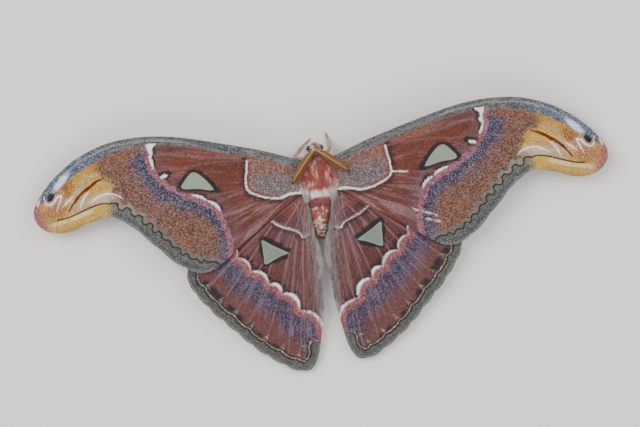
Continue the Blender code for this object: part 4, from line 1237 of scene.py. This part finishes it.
def body_surface():
    """The skin: ellipses set along the body's line, swelling a little towards each segment's hind edge.
    Gives points, outward normals, and each point's place on the unwrap."""
    rows, around = BODY_GRID
    sections = curve_through(BODY_SECTIONS, 12)
    y, x, z, wide, high = placed_on(sections, np.linspace(0, 1, rows)).T
    segment = (ABDOMEN_START - y) / ABDOMEN_PITCH
    swell = 1 + 0.05 * (segment - np.floor(segment) - 0.5) * smooth_step(segment * 2)
    turn = np.linspace(0, 2 * math.pi, around, endpoint=False)
    lean = np.arctan2(np.gradient(z), -np.gradient(y))[:, None]
    out = (wide * swell)[:, None] * np.sin(turn)
    above = (high * swell)[:, None] * np.cos(turn)
    points = np.stack(
        [x[:, None] + out, y[:, None] + above * np.sin(lean), z[:, None] + above * np.cos(lean)], axis=-1
    )
    down = np.gradient(points, axis=0)
    ring = np.roll(points, -1, axis=1) - np.roll(points, 1, axis=1)
    normals = np.cross(ring, down)
    normals = unit(normals * np.sign(normals[rows // 2, 0, 2]))
    places = np.stack(
        np.meshgrid(np.linspace(0, 1, rows), np.arange(around) / around, indexing="ij"), axis=-1
    )
    return points, normals, places[..., ::-1]


def body_colour(points):
    """Colours of skin and coat along the body: red thorax streaked with cream, its top streak partly a
    painted highlight, a white collar behind it, a dark red first segment, and an orange-red abdomen
    with cream spots, partly painted glints, that join to bands."""
    x, y, z = points.T
    flat = np.column_stack([x, y])
    rough = clouds(flat, 1.3, BODY_SEED)
    drawn = clouds(flat / (0.5, 3.0), 1.0, BODY_SEED + 1)
    colour = np.tile(shade(214, 84, 66), (len(points), 1))

    def lay(mask, tone):
        nonlocal colour
        colour = blend(colour, tone, np.clip(mask, 0, 1))

    lay(0.7 * smooth_step(rough), shade(232, 108, 74))
    lay(0.5 * smooth_step(-rough), shade(176, 60, 58))
    lay(0.7 * rise(x, 1.5, 2) * smooth_step(drawn + 0.4), shade(226, 132, 138))
    lay(0.9 * smooth_step((drawn - 0.3) * 3) * between(y, -1, 9, 2), shade(248, 212, 184))
    # cream along the top of the thorax, partly cream hair and partly a painted highlight
    middle = smooth_step((1.5 - np.abs(x + 0.7)) / 1.2)
    lay(0.85 * middle * between(y, 1.4, 8, 2) * smooth_step(drawn * 2 + 0.2), shade(248, 220, 186))
    lay(0.8 * between(y, -3.4, -0.2, 1.6), shade(236, 86, 56))
    lay(rise(y, 9.4, 0.8), shade(176, 108, 98))
    wisps = clouds(flat / (0.35, 1.3), 1.0, BODY_SEED + 3, 2)
    lay(0.9 * rise(y, 10, 1.5) * smooth_step(wisps * 2.5 + 0.4), shade(244, 216, 190))
    back = -y + 0.15 * rough
    lay(between(back + 0.2 * rough, 2.2, 5.7, 0.35), shade(255, 255, 255))
    lay(between(back, 5.6, 9.2, 0.6), shade(196, 84, 80))
    lay(0.8 * between(back, 8.6, 9.6, 0.5), shade(96, 50, 46))
    lay(rise(back, 9.5, 0.6), shade(216, 108, 76))
    cream = np.zeros(len(points))
    for spot in ABDOMEN_SPOTS:
        cream = np.maximum(cream, ellipse(flat + 0.16 * rough[:, None], spot[:2], spot[2:]))
    # cream spots: partly cream hair and partly painted glints
    lay(cream * 2.6, shade(255, 244, 220))
    under = smooth_step((6.5 - z + 0.35 * y) / 3)
    lay(0.5 * under, shade(196, 150, 128))
    return colour


def ruffled(lie, roots, strength, seed):
    """Turns the coat's lie together over about a millimetre, so that it parts in locks."""
    flat = roots[:, :2]
    sway = np.column_stack(
        [clouds(flat, 1.2, seed, 2), 0.4 * clouds(flat, 1.2, seed + 1, 2), np.zeros(len(flat))]
    )
    return lie + strength * sway


def locks_shade(roots, draw, seed):
    """How light each tuft is: mostly shared by its neighbours in a lock, and partly its own."""
    shared = 1 + 0.22 * clouds(roots[:, :2], 0.7, seed, 2)
    return (shared * draw.uniform(0.82, 1.15, len(roots)))[:, None]


def sample(points, count, draw, weights):
    """Random places on a grid surface, spread evenly over its area times the weights: the cell's row
    and column, and the share of the way through it."""
    down = points[1:] - points[:-1]
    ring = np.roll(points, -1, axis=1) - points
    area = np.linalg.norm(np.cross(down, ring[:-1]), axis=2) * weights
    chance = np.cumsum(area.ravel())
    cell = np.searchsorted(chance, draw.uniform(0, chance[-1], count))
    return cell // points.shape[1], cell % points.shape[1], draw.uniform(0, 1, (count, 2))


def on_grid(values, spot):
    """Values at sampled places of a grid, straight between its four corners."""
    i, j, part = spot
    k = (j + 1) % values.shape[1]
    a, b = part[:, :1], part[:, 1:]
    near = values[i, j] * (1 - b) + values[i, k] * b
    far = values[i + 1, j] * (1 - b) + values[i + 1, k] * b
    return near * (1 - a) + far * a


def body_lie(points):
    """Which way the coat lies: back along the body, spreading from the middle, and on the head forward
    and out over the eyes."""
    x, y, _ = points.T
    lie = np.column_stack([0.07 * x, -np.ones(len(x)), np.zeros(len(x))])
    face = rise(y, 10.2, 1.2)[:, None]
    ahead = np.column_stack([0.8 * x, 0.7 - 0.45 * np.minimum(np.abs(x), 1.5), np.full(len(x), 0.1)])
    return lie * (1 - face) + ahead * face


def coat_length(points):
    """Length of the coat: longest on the thorax, and shorter before, behind and below it."""
    _, y, z = points.T
    length = np.interp(
        -y, [-14, -12, -10, -8, -6, 2, 3.2, 6, 8, 14, 21],
        [1.2, 1.8, 2.0, 2.5, 3.3, 3.2, 2.2, 2.0, 1.7, 1.15, 0.8],
    )
    return length * (1 - 0.35 * fall(z, 7.5, 4))


# Properties, operators and panel


def count_property(name, description, value, least=100):
    return bpy.props.IntProperty(name=name, description=description, default=value, min=least)


def colour_property(name, description, value):
    return bpy.props.FloatVectorProperty(
        name=name, description=description, default=tuple(value), subtype="COLOR", size=3, min=0, max=1
    )


class MothCoatSettings(bpy.types.PropertyGroup):
    """Density and build of the coat."""

    head_tufts: count_property("Head tufts", "Tufts on the head", 2600)
    thorax_tufts: count_property("Thorax tufts", "Tufts on the thorax", 11000)
    abdomen_tufts: count_property("Abdomen tufts", "Tufts behind the thorax", 9500)
    tuft_width: bpy.props.FloatProperty(
        name="Tuft width", description="Width of a tuft at its root", default=0.19 * MM, unit="LENGTH",
        precision=5,
    )
    tuft_lift: bpy.props.FloatProperty(
        name="Lift", description="Angle at which tufts leave the skin", default=math.radians(27),
        subtype="ANGLE",
    )


class MothWingSettings(bpy.types.PropertyGroup):
    """Fineness of the wings and of their scales."""

    scale_cells: bpy.props.FloatProperty(
        name="Scales per metre", description="Specks of colour along a metre of wing", default=4000.0,
        min=100,
    )
    rows: count_property("Rows", "Steps of a forewing's grid along it", 396, 40)
    columns: count_property("Columns", "Steps of a forewing's grid across it", 122, 20)


class MothStageSettings(bpy.types.PropertyGroup):
    """Floor and light."""

    floor: colour_property("Floor", "Colour of the floor", shade(226, 224, 220))
    light: bpy.props.FloatProperty(
        name="Light", description="Strength of the key lamp", default=18.0, unit="POWER"
    )


class MOTH_OT_forewings(bpy.types.Operator):
    """Builds the two forewings"""

    bl_idname = "moth.forewings"
    bl_label = "Forewings"

    def execute(self, context):
        settings = context.scene.moth_wings
        material = wing_material("forewing_scales", settings.scale_cells, WINDOW_FORE, ((0.0, 0.3, 0.95),))
        plan = forewing_plan(settings.rows, settings.columns)
        wing_pair(
            "forewing", plan, FORE_VEINS, FORE_SLIP, FORE_SLIP_REACH, FORE_LIFT, material, forewing_scales
        )
        return {"FINISHED"}


class MOTH_OT_hindwings(bpy.types.Operator):
    """Builds the two hindwings"""

    bl_idname = "moth.hindwings"
    bl_label = "Hindwings"

    def execute(self, context):
        lines = ((0.0, 0.3, 0.97), (1.2, 0.26, 0.97))
        material = wing_material("hindwing_scales", context.scene.moth_wings.scale_cells, WINDOW_HIND, lines)
        plan = hindwing_plan(*HINDWING_GRID)
        wing_pair(
            "hindwing", plan, HIND_VEINS, HIND_SLIP, HIND_SLIP_REACH, -HIND_DROP, material, hindwing_scales
        )
        return {"FINISHED"}


class MOTH_OT_body(bpy.types.Operator):
    """Builds the skin of head, thorax and abdomen in one piece"""

    bl_idname = "moth.body"
    bl_label = "Body"

    def execute(self, context):
        points, _, _ = body_surface()
        verts, faces = closed_tube(points)
        piece = outward(mesh_object("body_skin", verts, faces, painted_material("skin", 0.8, 0.1)))
        paint(piece, "coat_colour", body_colour(verts) * SKIN_SHADE)
        finish_piece(piece, "thorax_fur", "thorax", "abdomen", "head")
        return {"FINISHED"}


class MOTH_OT_coat(bpy.types.Operator):
    """Covers the body with tufts"""

    bl_idname = "moth.coat"
    bl_label = "Coat"

    def execute(self, context):
        settings = context.scene.moth_coat
        material = coat_material()
        points, normals, places = body_surface()
        row_y = points[:-1, :, 1].mean(1)
        for name, slot, count, part in (
            ("head_coat", "head_fur", settings.head_tufts, row_y > NECK),
            ("thorax_coat", "thorax_fur", settings.thorax_tufts, (row_y > WAIST) & (row_y <= NECK)),
            ("abdomen_coat", "abdomen_fur", settings.abdomen_tufts, row_y <= WAIST),
        ):
            draw = np.random.default_rng(COAT_SEED)
            spot = sample(points, count, draw, part[:, None])
            roots, out, place = (on_grid(values, spot) for values in (points, normals, places))
            length = coat_length(roots) * draw.uniform(0.7, 1.15, count)
            width = settings.tuft_width / MM * draw.uniform(0.7, 1.3, count)
            lift = settings.tuft_lift * draw.uniform(0.4, 1.6, count)
            lie = ruffled(body_lie(roots) + draw.normal(0, 0.12, (count, 3)), roots, 0.45, 8)
            colours = body_colour(roots) * locks_shade(roots, draw, 12)
            curl = draw.uniform(0.1, 0.3, count)
            piece = coat_piece(name, roots, out, lie, length, width, lift, curl, colours, place, material)
            finish_piece(piece, slot)
        return {"FINISHED"}


class MOTH_OT_eyes(bpy.types.Operator):
    """Builds the two compound eyes"""

    bl_idname = "moth.eyes"
    bl_label = "Eyes"

    def execute(self, context):
        material = eye_material()
        down = np.linspace(0.03, math.pi - 0.03, EYE_GRID[0])[:, None]
        turn = np.linspace(0, 2 * math.pi, EYE_GRID[1], endpoint=False)
        ball = np.stack(
            [np.sin(down) * np.cos(turn), np.sin(down) * np.sin(turn), np.cos(down) + 0 * turn], axis=-1
        )
        for side, sign in SIDES:
            middle = np.array(EYE_MIDDLE) * (sign, 1, 1)
            verts, faces = closed_tube(middle + ball * (EYE_RADIUS * 0.95, EYE_RADIUS, EYE_RADIUS))
            piece = outward(mesh_object(f"eye_{side}_facets", verts, faces, material))
            finish_piece(piece, "eye", f"eye_{side}")
        return {"FINISHED"}


class MOTH_OT_feelers(bpy.types.Operator):
    """Builds the two feathered feelers"""

    bl_idname = "moth.feelers"
    bl_label = "Feelers"

    def execute(self, context):
        material = painted_material("feeler", 0.6, 0.2)
        for side in FEELERS:
            finish_piece(feeler_piece(side, material), "antenna", f"antenna_{side}")
        return {"FINISHED"}


class MOTH_OT_legs(bpy.types.Operator):
    """Builds the six legs with their fur"""

    bl_idname = "moth.legs"
    bl_label = "Legs"

    def execute(self, context):
        skin = painted_material("leg_skin", 0.7, 0.1)
        for side, sign in SIDES:
            for which, joints in LEGS.items():
                if (side, which) == ("left", "front"):
                    joints = LEFT_FRONT_LEG
                leg_pieces(f"leg_{which}_{side}", joints, sign, skin, coat_material())
        return {"FINISHED"}


class MOTH_OT_wing_hair(bpy.types.Operator):
    """Lays long hair over the wing roots and along the hindwings' inner edges"""

    bl_idname = "moth.wing_hair"
    bl_label = "Wing hair"

    def execute(self, context):
        for side, sign in SIDES:
            finish_piece(wing_root_hair(side, sign, coat_material()), "thorax_fur")
            finish_piece(inner_edge_hair(side, sign, coat_material()), "wing")
        return {"FINISHED"}


class MOTH_OT_stage(bpy.types.Operator):
    """Lays the pale floor, hangs the soft lamps and sets the camera above the moth"""

    bl_idname = "moth.stage"
    bl_label = "Stage"

    def execute(self, context):
        settings = context.scene.moth_stage
        bpy.ops.mesh.primitive_plane_add(size=FLOOR_WIDTH)
        floor = context.object
        floor.name = "floor"
        floor.data.materials.append(floor_material(settings.floor))
        for name, place, size, share in LAMPS:
            lamp = bpy.data.lights.new(name, "AREA")
            lamp.size = size
            lamp.energy = settings.light * share
            holder = bpy.data.objects.new(name, lamp)
            holder.location = place
            holder.rotation_euler = (-Vector(place)).to_track_quat("-Z", "Y").to_euler()
            context.scene.collection.objects.link(holder)
        world = bpy.data.worlds.new("studio")
        world.use_nodes = True
        background = world.node_tree.nodes["Background"]
        background.inputs["Color"].default_value = (1, 1, 1, 1)
        background.inputs["Strength"].default_value = WORLD_LIGHT
        context.scene.world = world
        camera = bpy.data.cameras.new("camera")
        camera.lens = LENS
        camera.sensor_width = SENSOR
        holder = bpy.data.objects.new("camera", camera)
        away = PICTURE_WIDTH * LENS / SENSOR
        spot = np.array((*PICTURE_MIDDLE, PICTURE_HEIGHT + away)) + ORIGIN
        holder.location = spot * MM
        holder.rotation_euler = (0, 0, -math.radians(PICTURE_TURN))
        context.scene.collection.objects.link(holder)
        context.scene.camera = holder
        return {"FINISHED"}


def finish_piece(piece, slot, *nodes):
    """Lets a piece ride on the frame and has it stand for the nodes. Its slot is not used."""
    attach(piece, "root")
    if nodes:
        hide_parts(*nodes)


def feeler_piece(side, material):
    """A tapered shaft, and on each side two rows of curved rays that slope down from it. A ray runs
    along a line between outwards and forwards, and bends forward with the square of its length."""
    share = np.linspace(0, 1, SHAFT_POINTS)
    path = placed_on(curve_through(FEELERS[side]), share)
    radii = np.interp(share, [0, 0.08, 0.12, 0.9, 1], [0.4, 0.3, 0.19, 0.12, 0.06])
    parts = [closed_tube(tube_points(path, radii, SHAFT_AROUND)[0])]
    dark_tip = rise(np.append(np.repeat(share, SHAFT_AROUND), (0, 1)), 0.9, 0.06)
    tones = [blend(shade(214, 158, 84), shade(60, 34, 22), dark_tip)]
    draw = np.random.default_rng(FEELER_SEED)
    for place in np.linspace(0.13, 0.95, RAY_PAIRS):
        at = placed_on(path, np.array([place, min(place + 0.02, 1.0), place - 0.02]))
        along = unit(at[1] - at[2])
        across = unit(np.cross(along, (0, 0, 1)))
        up = np.cross(across, along)
        long = RAY_LENGTH * math.sin(math.pi * (0.1 + 0.88 * place)) ** 0.7 * draw.uniform(0.96, 1.03)
        for sign in (1, -1):
            for sweep, droop in RAY_ROWS:
                t = np.linspace(0, 1, 5)[:, None]
                out = across * sign * math.cos(droop) - up * math.sin(droop)
                ahead = t * math.sin(sweep) + 0.18 * t**2
                line = at[0] + long * (out * t * math.cos(sweep) + along * ahead)
                parts.append(closed_tube(tube_points(line, np.linspace(0.12, 0.06, 5), 4, up)[0]))
                # the rays on the inner side take the darker brown as painted shade
                brown = FEELER_BROWN if sign * path[-1, 0] < 0 else FEELER_PAINTED_SHADE
                tone = brown * draw.uniform(0.75, 1.25) * (1 - 0.6 * rise(place, 0.84, 0.08))
                tones.append(np.tile(tone, (len(parts[-1][0]), 1)))
    verts, faces = joined(parts)
    piece = outward(mesh_object(f"antenna_{side}_feathered", verts, faces, material))
    paint(piece, "coat_colour", np.vstack(tones))
    return piece


def leg_line(joints, sign):
    """A leg's middle line and its radius: thigh, shin and foot, each swelling and narrowing."""
    hip, knee, ankle, toe = (np.array(joint) * (sign, 1, 1) for joint in joints)
    toe = toe + (ankle - toe) * 0.2
    rows = []
    for start, end, share, radius in (
        (hip, knee, 0, 0.95), (hip, knee, 0.45, 0.72), (hip, knee, 0.9, 0.5), (knee, ankle, 0, 0.5),
        (knee, ankle, 0.15, 0.5), (knee, ankle, 0.5, 0.6), (knee, ankle, 0.9, 0.4), (ankle, toe, 0, 0.32),
        (ankle, toe, 0.3, 0.32), (ankle, toe, 0.6, 0.3), (ankle, toe, 1, 0.24),
    ):
        rows.append((*(start + (end - start) * share), radius))
    rows[-3] = (*rows[-3][:2], toe[2] + 0.12, rows[-3][3])
    rows[-2] = (*rows[-2][:2], toe[2] + 0.08, rows[-2][3])
    line = curve_through(rows, 9)
    return line[:, :3], line[:, 3]


def leg_pieces(name, joints, sign, skin, coat):
    """One leg with its foot's segments and two claws, and the short fur on it."""
    path, radii = leg_line(joints, sign)
    share = np.linspace(0, 1, len(path))
    radii = radii * (1 + 0.14 * rise(share, 0.72, 0.03) * triangle_wave(share * 18))
    rings, out = tube_points(path, radii, LEG_AROUND)
    parts = [closed_tube(rings)]
    ahead = unit(path[-1] - path[-6])
    across = np.cross(ahead, (0, 0, 1))
    t = np.linspace(0, 1, 6)[:, None]
    for turn in (1, -1):
        claw = path[-1] + ahead * (CLAW_LENGTH * t - 0.1) + across * turn * CLAW_SPREAD * np.sin(2.2 * t)
        claw = claw - (0, 0, CLAW_HOOK) * t**2
        parts.append(closed_tube(tube_points(claw, np.linspace(0.09, 0.02, 6), 6)[0]))
    verts, faces = joined(parts)
    piece = outward(mesh_object(f"{name}_skin", verts, faces, skin))
    tone = np.tile(LEG_BARE, (len(verts), 1))
    leg_tone = blend(LEG_FURRED, LEG_BARE, rise(share, 0.7, 0.1))
    tone[: rings.size // 3] = np.repeat(leg_tone, LEG_AROUND, axis=0)
    paint(piece, "coat_colour", tone)
    finish_piece(piece, "leg", name)
    draw = np.random.default_rng(len(name))
    spot = sample(rings, LEG_HAIRS, draw, (share[:-1] < 0.86)[:, None])
    roots, normal = on_grid(rings, spot), unit(on_grid(out, spot))
    lie = unit(np.gradient(path, axis=0))[spot[0]] + draw.normal(0, 0.25, (LEG_HAIRS, 3))
    places = (np.column_stack(spot[1::-1]) + spot[2][:, ::-1]) / (LEG_AROUND, len(path))
    length = draw.uniform(0.6, 1.4, LEG_HAIRS)
    colours = LEG_FURRED * draw.uniform(0.6, 1.25, (LEG_HAIRS, 1))
    lift = draw.uniform(0.25, 0.8, LEG_HAIRS)
    piece = coat_piece(f"{name}_coat", roots, normal, lie, length, 0.13, lift, 0.12, colours, places, coat)
    finish_piece(piece, "leg")


def wing_top(x, y, lift):
    """Height of a wing's upper face and the normal there, from the slope of the dome."""
    step = 0.5
    slope_x = (dome(x + step, y) - dome(x - step, y)) / (2 * step)
    slope_y = (dome(x, y + step) - dome(x, y - step)) / (2 * step)
    return dome(x, y) + lift + MEMBRANE / 2, unit(np.column_stack([-slope_x, -slope_y, np.ones(len(x))]))


def wing_root_hair(side, sign, material):
    """Hair that spreads from the thorax over the roots of the wings: red and pink in front, and behind
    it a white tuft that fans back over the root of the hindwing."""
    draw = np.random.default_rng(ROOT_HAIR_SEED + sign)
    count = ROOT_HAIRS
    behind = draw.uniform(0, 1, count) < 0.52
    y = np.where(behind, draw.normal(-3.0, 1.3, count), draw.uniform(-3.5, 8.4, count))
    back_x = draw.normal(4.7, 0.5, count)
    front_x = draw.uniform(3.9, 5.6, count) - 0.12 * np.maximum(y - 2, 0) ** 1.3
    x = np.maximum(np.where(behind, back_x, front_x), 4.0)
    height, normal = wing_top(x, y, FORE_LIFT)
    height = height - 0.55 * rise(-y, 3, 1.5)
    flat = np.column_stack([x, y])
    white = fall(y, 0.2 + 1.2 * clouds(flat, 1.5, 6) + draw.normal(0, 0.8, count), 2.4)
    front = rise(y, 5, 2)
    grey = rise(-y + draw.normal(0, 1.0, count), 2.2, 2.2)
    colours = blend(shade(204, 98, 84), shade(240, 232, 222), white)
    colours = blend(colours, shade(150, 130, 126), 0.8 * grey)
    colours = blend(colours, shade(150, 104, 94), front) * locks_shade(flat, draw, 15)
    fan = rise(-y, -1.5, 6)
    lie = np.column_stack([0.9 - 0.75 * fan, -0.35 - 0.65 * fan, np.zeros(count)])
    lie = ruffled(lie + draw.normal(0, 0.2, (count, 3)), flat, 0.4, 18)
    length = draw.uniform(1.2, 3.2, count) * (1 - 0.45 * front)
    lift = draw.uniform(0.08, 0.42, count)
    places = np.column_stack([(x - 3.5) / 6, (y + 10) / 20])
    roots = np.column_stack([x, y, height])
    roots, normal, lie = (vectors * (sign, 1, 1) for vectors in (roots, normal, lie))
    name = f"wing_root_hair_{side}"
    return coat_piece(name, roots, normal, lie, length, 0.17, lift, 0.14, colours, places, material)


def inner_edge_hair(side, sign, material):
    """Long hair on the hindwing that lies back along the body and the inner edge, and beside the
    abdomen leans in on it."""
    draw = np.random.default_rng(EDGE_HAIR_SEED + sign)
    count = EDGE_HAIRS
    y = -4.5 - 46 * draw.uniform(0, 1, count) ** 1.5
    edge = np.interp(-y, [5, 12, 17, 21.5, 25.5, 30, 44, 52], [5.2, 4.6, 3.7, 2.3, 1.4, 1.3, 2.2, 3.1])
    x = edge + 0.1 + np.abs(draw.normal(0, 2.1, count))
    plan = slipped(np.column_stack([x, y]), HIND_SLIP[side], HIND_SLIP_REACH)
    height, normal = wing_top(plan[:, 0], plan[:, 1], -HIND_DROP - 0.12)
    tone = clouds(np.column_stack([x / 0.6, y / 6]), 1.0, 27, 2) + draw.normal(0, 0.3, count)
    colours = blend(shade(122, 98, 92), shade(182, 168, 170), smooth_step(tone + 0.4))
    red = rise(x - edge, 2.4, 1.5) * (draw.uniform(0, 1, count) < 0.55)
    colours = blend(colours, shade(164, 92, 80), red) * draw.uniform(0.8, 1.15, (count, 1))
    beside_body = between(-y, 7, 31, 5) * fall(x - edge, 2.4, 2)
    lie = np.column_stack(
        [draw.normal(0, 0.07, count) - 0.5 * beside_body, -np.ones(count), np.zeros(count)]
    )
    length = draw.uniform(1.6, 4.0, count)
    lift = draw.uniform(0.03, 0.16, count)
    places = np.column_stack([x / 16, -y / 56])
    roots = np.column_stack([plan, height])
    roots, normal, lie = (vectors * (sign, 1, 1) for vectors in (roots, normal, lie))
    name = f"inner_edge_hair_{side}"
    return coat_piece(name, roots, normal, lie, length, 0.16, lift, 0.04, colours, places, material)


OPERATORS = (
    MOTH_OT_forewings, MOTH_OT_hindwings, MOTH_OT_body, MOTH_OT_coat, MOTH_OT_wing_hair, MOTH_OT_eyes,
    MOTH_OT_feelers, MOTH_OT_legs, MOTH_OT_stage,
)


class MOTH_PT_panel(bpy.types.Panel):
    """Lists the moth's pieces and settings"""

    bl_idname = "MOTH_PT_panel"
    bl_label = "Atlas moth"
    bl_space_type = "VIEW_3D"
    bl_region_type = "UI"
    bl_category = "Moth"

    def draw(self, context):
        for settings in (context.scene.moth_wings, context.scene.moth_coat, context.scene.moth_stage):
            box = self.layout.box()
            for name in type(settings).__annotations__:
                box.prop(settings, name)
        for operator in OPERATORS:
            self.layout.operator(operator.bl_idname)


SETTINGS = (
    ("moth_coat", MothCoatSettings), ("moth_wings", MothWingSettings), ("moth_stage", MothStageSettings)
)


def register():
    for name, group in SETTINGS:
        bpy.utils.register_class(group)
        setattr(bpy.types.Scene, name, bpy.props.PointerProperty(type=group))
    for operator in OPERATORS:
        bpy.utils.register_class(operator)
    bpy.utils.register_class(MOTH_PT_panel)


def unregister():
    bpy.utils.unregister_class(MOTH_PT_panel)
    for operator in reversed(OPERATORS):
        bpy.utils.unregister_class(operator)
    for name, group in reversed(SETTINGS):
        delattr(bpy.types.Scene, name)
        bpy.utils.unregister_class(group)


def main():
    """Builds the piece groups in order."""
    register()
    scale_grain_group()
    inked_line_group()
    bpy.ops.moth.forewings()
    bpy.ops.moth.hindwings()
    bpy.ops.moth.body()
    bpy.ops.moth.coat()
    bpy.ops.moth.wing_hair()
    bpy.ops.moth.eyes()
    bpy.ops.moth.feelers()
    bpy.ops.moth.legs()
    bpy.ops.moth.stage()


if __name__ == "__main__":
    main()
